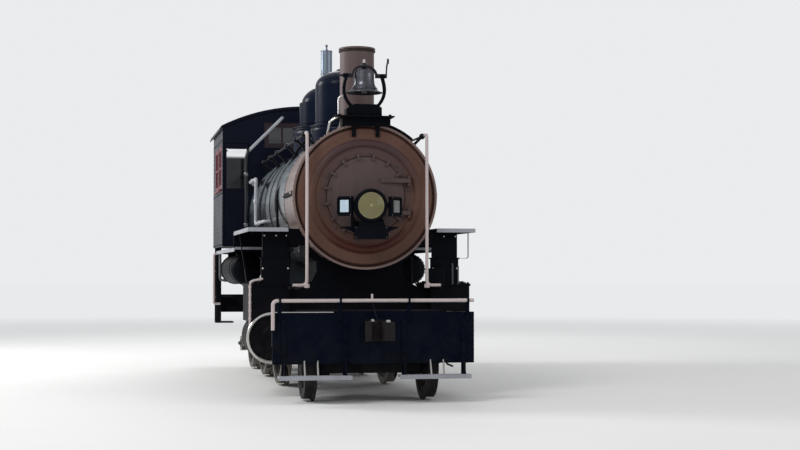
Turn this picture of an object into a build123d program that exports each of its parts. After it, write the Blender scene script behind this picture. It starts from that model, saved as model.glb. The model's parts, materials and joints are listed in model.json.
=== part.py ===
"""Steam locomotive with a leading two-wheel truck and six coupled wheels, built piece by piece.

All lengths are millimetres. x points right as seen from the front, y runs back from the front face
of the smokebox, z goes up from the rail head. At the end every piece is moved so that the origin is
in the middle of the engine's length and width, at the bottom of the wheel flanges.
"""
import os
from math import atan2, cos, degrees, pi, radians, sin, sqrt

from build123d import *

# Running gear
back_to_back = 1360          # between the inner faces of a pair of tyres
tyre_width = 140
flange_depth = 28
flange_width = 30
tyre_thickness = 69
driver_radius = 724          # at the tread
pony_radius = 380
pony_axle_radius = 75
driver_places = {"1": 2550, "2": 4450, "3": 6350}
pony_place = -150
axle_radius = 100
hub_radius = 150
crank_radius = 330
crankpin_radius = 55
main_pin_radius = 60
spoke_count = 14
running_clearance = 0.1
left_crank_deg = -135        # seen from the right hand side of the engine, from straight back
right_crank_deg = -45

# Rods and cylinders
cylinder_x = 1130
cylinder_z = 730
cylinder_radius = 300
cylinder_length = 990
side_rod_inner = 848
side_rod_thickness = 70
main_rod_length = 2550
main_rod_thickness = 90
rod_eye_radius = 105
piston_rod_reach = 280       # from the cylinder's back face to the crosshead pin at its front end
cylinder_back = driver_places["2"] - main_rod_length - crank_radius - piston_rod_reach
cylinder_front = cylinder_back - cylinder_length
guide_gap = 260              # between the upper and the lower guide bar
guide_back = cylinder_back + 1130

# Frame
frame_inner = 495
frame_thickness = 110
frame_top = 1070
rail_height = 110
frame_bottom = 440
beam_front = -640
beam_thickness = 100
beam_half_width = 1235
beam_bottom = 670
rear_beam_front = 7350
rear_beam_thickness = 130

# Boiler
boiler_z = 2500
smokebox_length = 1030
smokebox_radius = 900
smokebox_wall = 12
rim_radius = 915
rim_length = 70
front_plate_radius = 872
plate_edge_radius = 46       # the front plate is flanged back round this
ridge_radius = 667
door_radius = 490
door_opening_radius = 455
door_thickness = 24
door_dish = 34
hinge_x = 545
hinge_y = -50
barrel_radius = 890
barrel_back = 4150
band_thickness = 6
band_width = 65
wrapper_radius = 930
wrapper_z = 2470
wrapper_back = 6750
wrapper_bottom = 1100
wrapper_low_half = 488

# Things on top of the boiler
stack_y = 660
stack_radius = 222
stack_bore = 170
stack_top = 4455
sand_dome_y = 1950
sand_dome_radius = 362
sand_dome_top = 4338
steam_dome_y = 3700
steam_dome_radius = 359
steam_cap_radius = 323       # its cap is narrower than the casing below
steam_dome_top = 4328
whistle_x = 45
whistle_radius = 84
whistle_bottom = 4400
whistle_top = 4870
bell_x = -12
bell_y = 40
bell_z = 4020
bell_mouth_radius = 226
bell_height = 300
bell_drop = 220              # from the trunnions down to the mouth

# Rails, boards, cab
rail_x = 755
rail_z = 3280
rail_radius = 20
thin_rail_radius = 13
bar_y = -140
bar_foot_z = 1390
board_inner = 950
rear_board_inner = 950
board_outer = 1440
board_front = 170
board_step = 2250
front_board_z = 2110
rear_board_z = 1890
board_thickness = 12
edge_height = 50
cab_front = 5550
cab_back = 7530
cab_half_width = 1360
cab_wall = 40
cab_bottom = 1970
eave_z = 3870
roof_apex_z = 4190
roof_thickness = 40

nodes = {}
beyond = 9000                # past everything, for cuts that go right through


def block(x0, x1, y0, y1, z0, z1):
    """A box between two limits on each axis."""
    return Pos((x0 + x1) / 2, (y0 + y1) / 2, (z0 + z1) / 2) * Box(x1 - x0, y1 - y0, z1 - z0)


def bar_x(radius, x0, x1, y, z):
    return Pos((x0 + x1) / 2, y, z) * Rot(0, 90, 0) * Cylinder(radius, x1 - x0)


def bar_y_axis(radius, y0, y1, x, z):
    return Pos(x, (y0 + y1) / 2, z) * Rot(90, 0, 0) * Cylinder(radius, y1 - y0)


def bar_z(radius, z0, z1, x, y):
    return Pos(x, y, (z0 + z1) / 2) * Cylinder(radius, z1 - z0)


def plate_x(points, x0, x1):
    """An outline of (y, z) points, as thick as from x0 to x1."""
    return extrude(Plane.YZ.offset(x0) * make_face(Polyline(*points, close=True)), x1 - x0)


def plate_y(points, y0, y1):
    """An outline of (x, z) points, as thick as from y0 to y1."""
    return extrude(Plane.XZ.offset(-y1) * make_face(Polyline(*points, close=True)), y1 - y0)


def plate_z(points, z0, z1):
    """An outline of (x, y) points, as thick as from z0 to z1."""
    return extrude(Plane.XY.offset(z0) * make_face(Polyline(*points, close=True)), z1 - z0)


def turned_x(points, y, z):
    """(x, radius) points turned about an axis along x."""
    return Pos(0, y, z) * revolve(make_face(Polyline(*points, close=True)), Axis.X)


def turned_y(points, x, z):
    """(radius, y) points turned about an axis along y."""
    return Pos(x, 0, z) * revolve(make_face(Polyline(*points, close=True)), Axis.Y)


def turned_z(edges, x, y):
    """Edges in (radius, z) turned about an upright axis."""
    return Pos(x, y, 0) * revolve(Plane.XZ * make_face(edges), Axis.Z)


def pipe(points, radius, bend):
    """A round bar along straight runs joined by tangent arcs."""
    path = FilletPolyline(*points, radius=bend) if len(points) > 2 else Line(*points)
    return sweep(Plane(origin=path @ 0, z_dir=path % 0) * Circle(radius), path=path)


def other_side(shape):
    return mirror(shape, about=Plane.YZ)


def both(shape):
    return [shape, other_side(shape)]


def keep(name, *shapes):
    """Hold the solids of one node until they are written."""
    solids = []
    for shape in shapes:
        for item in shape if isinstance(shape, list) else [shape]:
            solids += item.solids()
    nodes[name] = solids


# Solids that others are cut to
smokebox_space = bar_y_axis(smokebox_radius, -50, smokebox_length, 0, boiler_z)
barrel_space = bar_y_axis(barrel_radius, smokebox_length, barrel_back, 0, boiler_z)


def wrapper_outline():
    """Firebox wrapper: an arch above, upright sides, and a tuck-in down to the mud ring."""
    side_low, tuck_low = 2000, 1400
    return [
        ThreePointArc((-wrapper_radius, wrapper_z), (0, wrapper_z + wrapper_radius),
                      (wrapper_radius, wrapper_z)),
        Line((wrapper_radius, wrapper_z), (wrapper_radius, side_low)),
        Spline((wrapper_radius, side_low), (wrapper_low_half, tuck_low),
               tangents=[(0, -1), (0, -1)]),
        Line((wrapper_low_half, tuck_low), (wrapper_low_half, wrapper_bottom)),
        Line((wrapper_low_half, wrapper_bottom), (-wrapper_low_half, wrapper_bottom)),
        Line((-wrapper_low_half, wrapper_bottom), (-wrapper_low_half, tuck_low)),
        Spline((-wrapper_low_half, tuck_low), (-wrapper_radius, side_low),
               tangents=[(0, 1), (0, 1)]),
        Line((-wrapper_radius, side_low), (-wrapper_radius, wrapper_z)),
    ]


wrapper_space = extrude(Plane.XZ.offset(-wrapper_back) * make_face(wrapper_outline()),
                        wrapper_back - barrel_back)


# Wheels
tyre_inner = back_to_back / 2
tyre_outer = tyre_inner + tyre_width
hub_inner = tyre_inner - 10
crank_boss_outer = tyre_outer + 18


def tyre(radius, place):
    """A flanged steel tyre on the right hand side, flange inwards."""
    bore = radius - tyre_thickness
    outline = [(tyre_inner, bore), (tyre_inner, radius + flange_depth),
               (tyre_inner + flange_width - 8, radius + flange_depth),
               (tyre_inner + flange_width + 6, radius), (tyre_outer, radius), (tyre_outer, bore)]
    return turned_x(outline, place, radius)


def wheel_centre(rim, spokes, crank, weight_deg):
    """A cast spoked centre on the right hand side about the x axis, its crank straight back."""
    rim_depth, spoke_x, spoke_depth = 55, tyre_inner + 35, 70
    body = turned_x([(tyre_inner + 10, rim - rim_depth), (tyre_inner + 10, rim),
                     (tyre_outer - 10, rim), (tyre_outer - 10, rim - rim_depth)], 0, 0)
    body += bar_x(hub_radius if crank else hub_radius * 0.8, hub_inner, tyre_outer + 10, 0, 0)
    for number in range(spokes):
        arm = plate_x([(-38, 0), (38, 0), (24, rim - rim_depth / 2), (-24, rim - rim_depth / 2)],
                      spoke_x, spoke_x + spoke_depth)
        body += Rot(360 * (number + 0.5) / spokes, 0, 0) * arm
    if crank:
        body += bar_x(105, tyre_inner + 20, crank_boss_outer, crank, 0)
        body += block(tyre_inner + 20, tyre_outer + 12, 0, crank, -95, 95)
        chord = rim * cos(radians(weight_deg))
        weight = bar_x(rim - 20, tyre_inner + 25, tyre_outer - 12, 0, 0)
        body += weight & block(0, 2000, -rim, -chord, -rim, rim)
    return body


def wheelset(name, place, radius, crank_pins):
    """An axle, its two centres and their crankpins; drivers have separate tyres, the pony's are one piece."""
    rim = radius - tyre_thickness
    pin_end, pin_radius, weight_deg = crank_pins if crank_pins else (0, 0, 0)
    centre = wheel_centre(rim, spoke_count if crank_pins else 10, crank_radius if crank_pins else 0,
                          weight_deg)
    solids = [bar_x(axle_radius if crank_pins else pony_axle_radius, -hub_inner, hub_inner, 0, 0)]
    if crank_pins:
        collar_x = side_rod_inner + side_rod_thickness + 7
        pin = bar_x(pin_radius, crank_boss_outer, pin_end, crank_radius, 0)
        pin += bar_x(pin_radius + 20, collar_x, collar_x + 20, crank_radius, 0)
        for piece in (centre, pin):
            solids += [Rot(left_crank_deg, 0, 0) * other_side(piece), Rot(right_crank_deg, 0, 0) * piece]
        keep(name + "_tyres", both(tyre(radius, place)))
    else:
        solids += both(centre + Pos(0, 0, -radius) * tyre(radius, 0))
    keep(name + "_wheels", [Pos(0, place, radius) * item for item in solids])


short_pin_end = side_rod_inner + side_rod_thickness + 27
main_pin_end = cylinder_x - main_rod_thickness / 2 - 23
wheelset("driver_1", driver_places["1"], driver_radius, (short_pin_end, crankpin_radius, 62))
wheelset("driver_2", driver_places["2"], driver_radius, (main_pin_end, main_pin_radius, 52))
wheelset("driver_3", driver_places["3"], driver_radius, (short_pin_end, crankpin_radius, 62))
wheelset("pony", pony_place, pony_radius, None)


# Side rods
def crank_offset(angle):
    return crank_radius * cos(radians(angle)), crank_radius * sin(radians(angle))


def side_rod(angle):
    """A fluted rod with an eye on each of the three crankpins, on the right hand side."""
    dy, dz = crank_offset(angle)
    outer = side_rod_inner + side_rod_thickness
    places = [place + dy for place in driver_places.values()]
    height = driver_radius + dz
    rod = block(side_rod_inner, outer, places[0], places[-1], height - 48, height + 48)
    for start, stop in zip(places, places[1:]):
        flute = (start + rod_eye_radius + 60, stop - rod_eye_radius - 60, height - 24, height + 24)
        rod -= block(outer - 16, outer, *flute)
        rod -= block(side_rod_inner, side_rod_inner + 16, *flute)
    for place in places:
        rod += bar_x(rod_eye_radius, side_rod_inner, outer, place, height)
        rod += block(side_rod_inner + 15, outer - 15, place - 35, place + 35, height,
                     height + rod_eye_radius + 28)
    for key, place in zip(driver_places, places):
        bore = (main_pin_radius if key == "2" else crankpin_radius) + running_clearance
        rod -= bar_x(bore, 0, 2 * outer, place, height)
    return rod


keep("side_rod_left", other_side(side_rod(left_crank_deg)))
keep("side_rod_right", side_rod(right_crank_deg))


# Main rods, crossheads and guides
def crosshead_place(angle):
    """Where the crosshead pin stands when the crank is at this angle."""
    dy, dz = crank_offset(angle)
    drop = cylinder_z - (driver_radius + dz)
    return driver_places["2"] + dy - sqrt(main_rod_length ** 2 - drop ** 2)


rod_x0 = cylinder_x - main_rod_thickness / 2
rod_x1 = cylinder_x + main_rod_thickness / 2
small_eye = 62


def main_rod(angle):
    """From the crosshead pin to the big end, which stands outside the crankpin's end."""
    dy, dz = crank_offset(angle)
    back = (driver_places["2"] + dy, driver_radius + dz)
    front = (crosshead_place(angle), cylinder_z)
    slope = degrees(atan2(back[1] - front[1], back[0] - front[0]))
    bar = plate_x([(0, -40), (main_rod_length, -55), (main_rod_length, 55), (0, 40)],
                  rod_x0 + 10, rod_x1 - 10)
    flute = plate_x([(160, -18), (main_rod_length - 240, -28), (main_rod_length - 240, 28),
                     (160, 18)], rod_x1 - 24, rod_x1)
    bar -= flute
    bar += bar_x(small_eye, rod_x0 + 5, rod_x1 - 5, 0, 0)
    bar += block(rod_x0, rod_x1, main_rod_length - 140, main_rod_length + 125, -105, 105)
    bar += bar_x(main_pin_radius, rod_x0 - 8, rod_x1 + 12, main_rod_length, 0)
    return Pos(0, *front) * Rot(slope, 0, 0) * bar


def crosshead(angle):
    """Two cheeks with slippers above and below, on the end of the piston rod."""
    place = crosshead_place(angle)
    half_gap = guide_gap / 2
    body = block(rod_x0 - 25, rod_x1 + 25, place - 130, place + 130, cylinder_z - half_gap,
                 cylinder_z + half_gap)
    body -= block(rod_x0, rod_x1, place - 75, place + 200, cylinder_z - half_gap + 20,
                  cylinder_z + half_gap - 20)
    body += bar_x(30, rod_x0 - 40, rod_x1 + 40, place, cylinder_z)
    body += bar_y_axis(32, cylinder_back + 90, place - 60, cylinder_x, cylinder_z)
    return body


guide_height = 48
yoke_y = cylinder_back + 440
yoke_thickness = 32


guide_low, guide_high = cylinder_z - guide_gap / 2, cylinder_z + guide_gap / 2


def guide_bars():
    """Two guide bars from the cylinder's back cover, and the spacer that holds their far ends."""
    low, high = guide_low, guide_high
    bars = block(rod_x0, rod_x1, cylinder_back, guide_back, high, high + guide_height)
    bars += block(rod_x0, rod_x1, cylinder_back, guide_back, low - guide_height, low)
    bars += block(rod_x1 + 28, rod_x1 + 50, guide_back - 60, guide_back, low - guide_height,
                  high + guide_height)
    bars += block(rod_x0, rod_x1 + 50, guide_back - 60, guide_back, high, high + guide_height)
    bars += block(rod_x0, rod_x1 + 50, guide_back - 60, guide_back, low - guide_height, low)
    return bars


def guide_yoke():
    """The plate that hangs the guide bars from the frame, with a window for the crosshead."""
    low, high = guide_low, guide_high
    yoke = plate_y([(frame_inner + frame_thickness, frame_top - rail_height), (rod_x0 - 30, 920),
                    (rod_x0 - 30, low - 90), (rod_x1 + 75, low - 90), (rod_x1 + 75, high + 170),
                    (1000, 1250), (frame_inner + frame_thickness, 1250)],
                   yoke_y, yoke_y + yoke_thickness)
    yoke -= block(rod_x0 - 30, rod_x1 + 30, yoke_y - 50, yoke_y + 90, low, high)
    return yoke - guide_bars()


heads = {angle: crosshead(angle) for angle in (left_crank_deg, right_crank_deg)}
rods = {angle: main_rod(angle) - head for angle, head in heads.items()}
keep("crossheads", other_side(heads[left_crank_deg]), heads[right_crank_deg])
keep("main_rods", other_side(rods[left_crank_deg]), rods[right_crank_deg])
keep("guide_bars", both(guide_bars()))
keep("guide_yokes", both(guide_yoke()))


# Cylinders with their valve chests, and the saddle under the smokebox
chest_inner, chest_outer = 905, 1415
chest_front, chest_back, chest_top = cylinder_front + 30, cylinder_back - 60, 1375
saddle_front, saddle_back = cylinder_front + 110, cylinder_back - 100
saddle_half_width = 840


def cylinder():
    head = 45
    body = turned_y([(0, cylinder_front - 12), (120, cylinder_front - 12), (150, cylinder_front),
                     (cylinder_radius - 6, cylinder_front), (cylinder_radius - 6, cylinder_front + head),
                     (cylinder_radius, cylinder_front + head), (cylinder_radius, cylinder_back - head),
                     (cylinder_radius - 6, cylinder_back - head), (cylinder_radius - 6, cylinder_back),
                     (0, cylinder_back)], cylinder_x, cylinder_z)
    body += block(frame_inner + frame_thickness, cylinder_x, saddle_front, saddle_back, 600,
                  frame_top - rail_height)
    body += block(frame_inner + frame_thickness, cylinder_x, saddle_front, saddle_back, 900, frame_top)
    body += block(chest_inner, chest_outer, chest_front, chest_back, frame_top - 140, chest_top)
    body += block(saddle_half_width, chest_inner, saddle_front, saddle_back, frame_top - 60, chest_top - 60)
    body += bar_y_axis(60, cylinder_back, cylinder_back + 90, cylinder_x, cylinder_z)
    return body - guide_bars()


def chest_cover():
    """The ribbed cover of the valve chest, a little wider than the chest."""
    cover = block(chest_inner - 12, chest_outer + 12, chest_front - 12, chest_back + 12, chest_top,
                  chest_top + 32)
    return cover + block(chest_inner + 60, chest_outer - 60, chest_front + 60, chest_back - 60,
                         chest_top + 32, chest_top + 62)


saddle_half = [(frame_inner, 600), (frame_inner, frame_top), (saddle_half_width, frame_top),
               (saddle_half_width, 1310), (620, 1440), (560, 1560), (560, 1690), (680, 1750),
               (680, 1960)]
saddle_outline = saddle_half + [(-x, z) for x, z in reversed(saddle_half)]
saddle = plate_y(saddle_outline, saddle_front, saddle_back)
keep("cylinder_saddle", saddle - bar_y_axis(smokebox_radius, -50, saddle_back + 50, 0, boiler_z))


# Bar frames
def frame_side():
    x0, x1 = frame_inner, frame_inner + frame_thickness
    leg, slot = 110, 130
    first, last = min(driver_places.values()), max(driver_places.values())
    low_rail = 560
    side = block(x0, x1, first - slot - leg, last + slot + leg, frame_bottom, frame_top)
    for place in driver_places.values():
        side -= block(x0, x1, place - slot, place + slot, frame_bottom + 80, frame_top - rail_height)
    places = list(driver_places.values())
    for start, stop in zip(places, places[1:]):
        window = (start + slot + leg, stop - slot - leg)
        side -= block(x0, x1, *window, low_rail + 80, frame_top - rail_height)
        side -= block(x0, x1, *window, frame_bottom, low_rail)
    side += block(x0, x1, beam_front + beam_thickness, first, frame_top - rail_height, frame_top)
    side += block(x0, x1, last, rear_beam_front, frame_top - rail_height, frame_top)
    return side


frame = frame_side()
for place in driver_places.values():
    box = block(frame_inner, frame_inner + frame_thickness, place - 130, place + 130,
                frame_bottom + 80, frame_top - rail_height)
    box += block(frame_inner + frame_thickness, frame_inner + frame_thickness + 30, place - 160,
                 place + 160, frame_bottom + 110, frame_top - rail_height - 60)
    box -= bar_x(axle_radius + running_clearance, 0, 2000, place, driver_radius)
    frame += box
keep("frame_left", other_side(frame))
keep("frame_right", frame)


# Leaf springs over the axle boxes
def leaf_spring(place):
    """Leaves of falling length in a stack, held by a buckle, on a seat over the frame."""
    leaf, count, x0, x1 = 17, 6, frame_inner + 10, frame_inner + frame_thickness - 10
    low = frame_top + 55
    stack = block(x0, x1, place - 420, place + 420, low + leaf * (count - 1), low + leaf * count)
    for number in range(count - 1):
        half = 140 + 55 * number
        stack += block(x0, x1, place - half, place + half, low + leaf * number, low + leaf * (number + 1))
    stack += block(x0 - 8, x1 + 8, place - 45, place + 45, frame_top, low + leaf * count + 14)
    for end in (-395, 395):
        stack += block(x0 + 30, x1 - 30, place + end - 14, place + end + 14, frame_top,
                       low + leaf * count + 20)
    return stack


keep("leaf_springs", [item for place in driver_places.values() for item in both(leaf_spring(place))])


# Brakes: a shoe behind each driver, on a hanger from the frame
def brake(place):
    inner, outer = driver_radius + 9, driver_radius + 60
    x0, x1 = tyre_inner + flange_width + 10, tyre_outer - 5
    shoe = bar_x(outer, x0, x1, place, driver_radius) - bar_x(inner, 0, 2000, place, driver_radius)
    shoe &= block(x0, x1, place, place + 2000, driver_radius - 190, driver_radius + 190)
    hang_y = place + outer + 2
    shoe += block(x0 + 25, x1 - 25, hang_y - 20, hang_y + 30, driver_radius - 30, 1180)
    shoe += bar_x(28, frame_inner + frame_thickness, x1 + 15, hang_y + 5, 1015)
    return shoe


keep("brakes", [item for place in driver_places.values() for item in both(brake(place))])


# Pony truck frame
pony_pivot_y = 1250
pony_pivot_z = 480
pony_side_x = 560


def pony_truck():
    """Two box bars with axle boxes, drawn together to the pivot eye by a radius bar."""
    low, high = 330, 430
    frame = plate_z([(pony_side_x - 55, pony_place - 230), (pony_side_x + 55, pony_place - 230),
                     (pony_side_x + 55, pony_place + 260), (90, pony_pivot_y - 40),
                     (-90, pony_pivot_y - 40), (-pony_side_x - 55, pony_place + 260),
                     (-pony_side_x - 55, pony_place - 230), (-pony_side_x + 55, pony_place - 230),
                     (-pony_side_x + 55, pony_place + 235), (pony_side_x - 55, pony_place + 235)],
                    low, high)
    frame -= plate_z([(-330, pony_place + 330), (330, pony_place + 330), (60, pony_pivot_y - 200),
                      (-60, pony_pivot_y - 200)], low, high)
    frame += block(-pony_side_x, pony_side_x, pony_place - 230, pony_place - 170, low, high)
    frame += bar_z(95, low, high, 0, pony_pivot_y)
    frame += block(-90, 90, pony_pivot_y - 60, pony_pivot_y, low, high)
    frame -= bar_z(45 + running_clearance, low - 50, high + 50, 0, pony_pivot_y)
    for sign in (-1, 1):
        centre = sign * pony_side_x
        frame += block(centre - 70, centre + 70, pony_place - 120, pony_place + 120, 270, 520)
    frame -= bar_x(75 + running_clearance, -2000, 2000, pony_place, pony_radius)
    frame -= block(-pony_side_x + 71, pony_side_x - 71, pony_place - 110, pony_place + 110, 200, 600)
    return frame


keep("pony_truck", pony_truck())

# Stays between the frames, one of them with the pony truck's pivot pin
stays = [block(-frame_inner, frame_inner, cross_y - 20, cross_y + 20, 700, frame_top - 10)
         for cross_y in (1700, 3450, 6900)]
pony_pin = bar_z(45, 320, 600, 0, pony_pivot_y) + bar_z(80, 445, 600, 0, pony_pivot_y)
pony_pin += block(-frame_inner, frame_inner, pony_pivot_y - 55, pony_pivot_y + 90, 520, 600)
for side_x in (-frame_inner, frame_inner - 40):
    pony_pin += block(side_x, side_x + 40, pony_pivot_y - 55, pony_pivot_y + 90, 520, frame_top - 5)
keep("frame_stays", stays, pony_pin)


# Smokebox
shell = bar_y_axis(smokebox_radius, 0, smokebox_length, 0, boiler_z)
shell += bar_y_axis(rim_radius, 0, rim_length, 0, boiler_z)
shell -= bar_y_axis(smokebox_radius - smokebox_wall, -50, smokebox_length + 50, 0, boiler_z)
shell -= bar_z(stack_bore, boiler_z, 4000, 0, stack_y)

ridge_half = 46
ridge_height = 24
plate_back = 74
joint_groove = 13            # the dark ring round the door
edge_start = front_plate_radius - plate_edge_radius
edge_bulge = plate_edge_radius * (1 - cos(radians(45)))
shell_inner = smokebox_radius - smokebox_wall
front_profile = [
    Line((door_opening_radius, plate_back), (door_opening_radius, 0)),
    Line((door_opening_radius, 0), (door_radius, 0)),
    Line((door_radius, 0), (door_radius, joint_groove)),
    Line((door_radius, joint_groove), (door_radius + joint_groove, joint_groove)),
    Line((door_radius + joint_groove, joint_groove), (door_radius + joint_groove, 0)),
    Line((door_radius + joint_groove, 0), (ridge_radius - ridge_half, 0)),
    ThreePointArc((ridge_radius - ridge_half, 0), (ridge_radius, -ridge_height), (ridge_radius + ridge_half, 0)),
    Line((ridge_radius + ridge_half, 0), (edge_start, 0)),
    ThreePointArc((edge_start, 0), (front_plate_radius - edge_bulge, edge_bulge),
                  (front_plate_radius, plate_edge_radius)),
    Line((front_plate_radius, plate_edge_radius), (front_plate_radius, plate_back - 18)),
    Line((front_plate_radius, plate_back - 18), (shell_inner, plate_back - 18)),
    Line((shell_inner, plate_back - 18), (shell_inner, plate_back)),
    Line((shell_inner, plate_back), (door_opening_radius, plate_back)),
]
front_plate = Pos(0, 0, boiler_z) * revolve(make_face(front_profile), Axis.Y)

seat_gap = 0.3
door_rim = 60
dish_radius = door_radius - door_rim
dish_ball = (dish_radius ** 2 + door_dish ** 2) / (2 * door_dish)
dish_rise = sqrt(dish_ball ** 2 - (dish_radius / 2) ** 2) - (dish_ball - door_dish)
door_profile = [
    Line((0, -seat_gap), (door_radius, -seat_gap)),
    Line((door_radius, -seat_gap), (door_radius, -door_thickness)),
    Line((door_radius, -door_thickness), (dish_radius, -door_thickness)),
    ThreePointArc((dish_radius, -door_thickness), (dish_radius / 2, -door_thickness - dish_rise),
                  (0, -door_thickness - door_dish)),
    Line((0, -door_thickness - door_dish), (0, -seat_gap)),
]
door = Pos(0, 0, boiler_z) * revolve(make_face(door_profile), Axis.Y)
strap_heights = (2700, 2296)
strap_half = 26
strap_reach = 180
knuckle_radius = 22
hinge_pin_radius = 11
strapped_door = door
for height in strap_heights:
    strap = block(strap_reach, hinge_x, hinge_y - 14, -1, height - strap_half, height + strap_half) - door
    strap -= block(door_radius - 20, hinge_x + 50, -door_thickness - 1, 10, 0, 5000)
    strap += bar_z(knuckle_radius, height - strap_half, height + strap_half, hinge_x, hinge_y)
    strap -= bar_z(hinge_pin_radius + running_clearance, 0, 5000, hinge_x, hinge_y)
    strapped_door += strap
    bracket = bar_z(hinge_pin_radius, height - 70, height + 70, hinge_x, hinge_y)
    for low in (height - 65, height + strap_half + 5):
        bracket += bar_z(knuckle_radius, low, low + 30, hinge_x, hinge_y)
        bracket += block(hinge_x - 20, hinge_x + 22, hinge_y, 0, low, low + 30)
    front_plate += bracket
keep("smokebox_front", front_plate)

clamp_count = 16
clamp_ring = 503
for number in range(clamp_count):
    turn = 360 * (number + 0.5) / clamp_count
    if cos(radians(turn)) > 0.85:      # the hinges are there
        continue
    clamp = block(-15, 15, -door_thickness - 12, -door_thickness, -clamp_ring - 32, -clamp_ring + 50)
    clamp += block(-15, 15, -door_thickness - 12, -2, -clamp_ring - 32, -door_radius - joint_groove - 2)
    clamp += bar_y_axis(13, -door_thickness - 26, -door_thickness - 12, 0, -clamp_ring + 28)
    strapped_door += Pos(0, 0, boiler_z) * Rot(0, -turn - 90, 0) * clamp
keep("smokebox_door", strapped_door)

blast_pipe = turned_z(Polyline((95, 1580), (95, 2100), (70, 2330), (110, 2330), (130, 2100), (130, 1580),
                               close=True), 0, stack_y)
keep("smokebox", shell + (blast_pipe & bar_y_axis(smokebox_radius, 0, smokebox_length, 0, boiler_z)))


# Headlight with its shelf, number lamps and blank plate, all carried by the door
lamp_z = 2370
lamp_front = -420
lamp_radius = 200
lens_radius = 165
shelf_z = 2105
headlight = turned_y([(0, lamp_front + 160), (lens_radius, lamp_front + 60), (lens_radius, lamp_front),
                      (lamp_radius, lamp_front), (lamp_radius, lamp_front + 150),
                      (lamp_radius - 14, lamp_front + 150), (lamp_radius - 14, lamp_front + 230),
                      (lamp_radius - 80, lamp_front + 300), (0, lamp_front + 300)], 0, lamp_z)
headlight -= block(-400, 400, -600, 0, 0, lamp_z - lamp_radius + 8)
lens = turned_y([(0, lamp_front - 16), (90, lamp_front - 8), (lens_radius - 1, lamp_front + 6),
                 (lens_radius - 1, lamp_front + 14), (0, lamp_front + 4)], 0, lamp_z)
keep("headlight_lens", lens)

lamp_seat = lamp_z - lamp_radius + 8
shelf = plate_z([(-345, -110), (345, -110), (215, lamp_front + 4), (-215, lamp_front + 4)],
                shelf_z - 14, shelf_z)
shelf += block(-150, 150, lamp_front + 20, -110, shelf_z, lamp_seat)
for centre in (-180, 180):
    shelf += plate_x([(-60, 2070), (-60, 2250), (-110, 2250), (lamp_front + 60, shelf_z - 5),
                      (lamp_front + 60, 2070)], centre - 12, centre + 12)
    shelf += block(centre - 12, centre + 12, -110, -5, 2110, 2250)
    wing = [(centre, 2118), (centre * 1.95, 2110), (centre * 1.9, 2094), (centre * 1.5, 2068), (centre, 2020)]
    shelf += plate_y(wing, lamp_front + 60, lamp_front + 76)
plate_back_y = lamp_front + 4
shelf += block(-212, 212, plate_back_y - 14, plate_back_y, 1955, 2115)
keep("headlight", headlight + (shelf - door))

number_lamps = []
for sign in (-1, 1):
    lamp = Box(210, 56, 240) - Pos(0, -28, 0) * Box(170, 20, 190)
    lamp = Pos(sign * 312, -350, 2360) * Rot(0, 0, sign * 42) * lamp
    arm_x = sorted((sign * 185, sign * 240))
    arm = block(*arm_x, -408, -372, 2345, 2375)
    number_lamps.append(lamp + (arm - headlight))
keep("number_lamps", number_lamps)


# Boiler
barrel = barrel_space
for band_y in (smokebox_length, 2120, 2850, 3480, barrel_back - band_width):
    barrel += bar_y_axis(barrel_radius + band_thickness, band_y, band_y + band_width, 0, boiler_z)
keep("boiler_barrel", barrel)
keep("firebox", wrapper_space)
ashpan = plate_y([(-450, wrapper_bottom), (450, wrapper_bottom), (450, 800), (300, 470), (-300, 470),
                  (-450, 800)], driver_places["2"] + 190, driver_places["3"] - 190)
keep("ashpan", ashpan)

fire_door = bar_y_axis(210, wrapper_back, wrapper_back + 35, 0, 2250)
fire_door += block(-300, 300, wrapper_back, wrapper_back + 14, 2010, 2510)
backhead = bar_y_axis(110, wrapper_back, wrapper_back + 70, -180, 3050)
backhead += bar_y_axis(110, wrapper_back, wrapper_back + 70, 140, 3120)
backhead += block(-40, 40, wrapper_back, wrapper_back + 60, 2680, 2960)
backhead += bar_y_axis(28, wrapper_back, wrapper_back + 240, 0, 2820)
backhead += block(-14, 420, wrapper_back + 200, wrapper_back + 228, 2800, 2840)
backhead += bar_z(22, 2650, 3000, -480, wrapper_back + 60)
backhead += block(-520, -440, wrapper_back, wrapper_back + 50, 2690, 2730)
backhead += block(-520, -440, wrapper_back, wrapper_back + 50, 2930, 2970)
keep("backhead_fittings", backhead, fire_door)


# Stack, domes and whistle
def saddle_cut(shape, radius):
    """Shape a foot to the round of the boiler that it stands on."""
    return shape - bar_y_axis(radius, -500, 6000, 0, boiler_z)


stack_foot = 330
lip_reach, lip_height = 15, 30
stack_edges = [
    Line((stack_bore, 3200), (stack_foot, 3200)),
    Line((stack_foot, 3200), (stack_foot, 3350)),
    ThreePointArc((stack_foot, 3350), (stack_radius + 32, 3420), (stack_radius, 3560)),
    Line((stack_radius, 3560), (stack_radius, stack_top - lip_height)),
    Line((stack_radius, stack_top - lip_height), (stack_radius + lip_reach, stack_top - lip_height + 8)),
    Line((stack_radius + lip_reach, stack_top - lip_height + 8), (stack_radius + lip_reach, stack_top - 6)),
    Line((stack_radius + lip_reach, stack_top - 6), (stack_radius + lip_reach - 6, stack_top)),
    Line((stack_radius + lip_reach - 6, stack_top), (stack_bore, stack_top)),
    Line((stack_bore, stack_top), (stack_bore, 3200)),
]
keep("stack", saddle_cut(turned_z(stack_edges, 0, stack_y), smokebox_radius))


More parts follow.
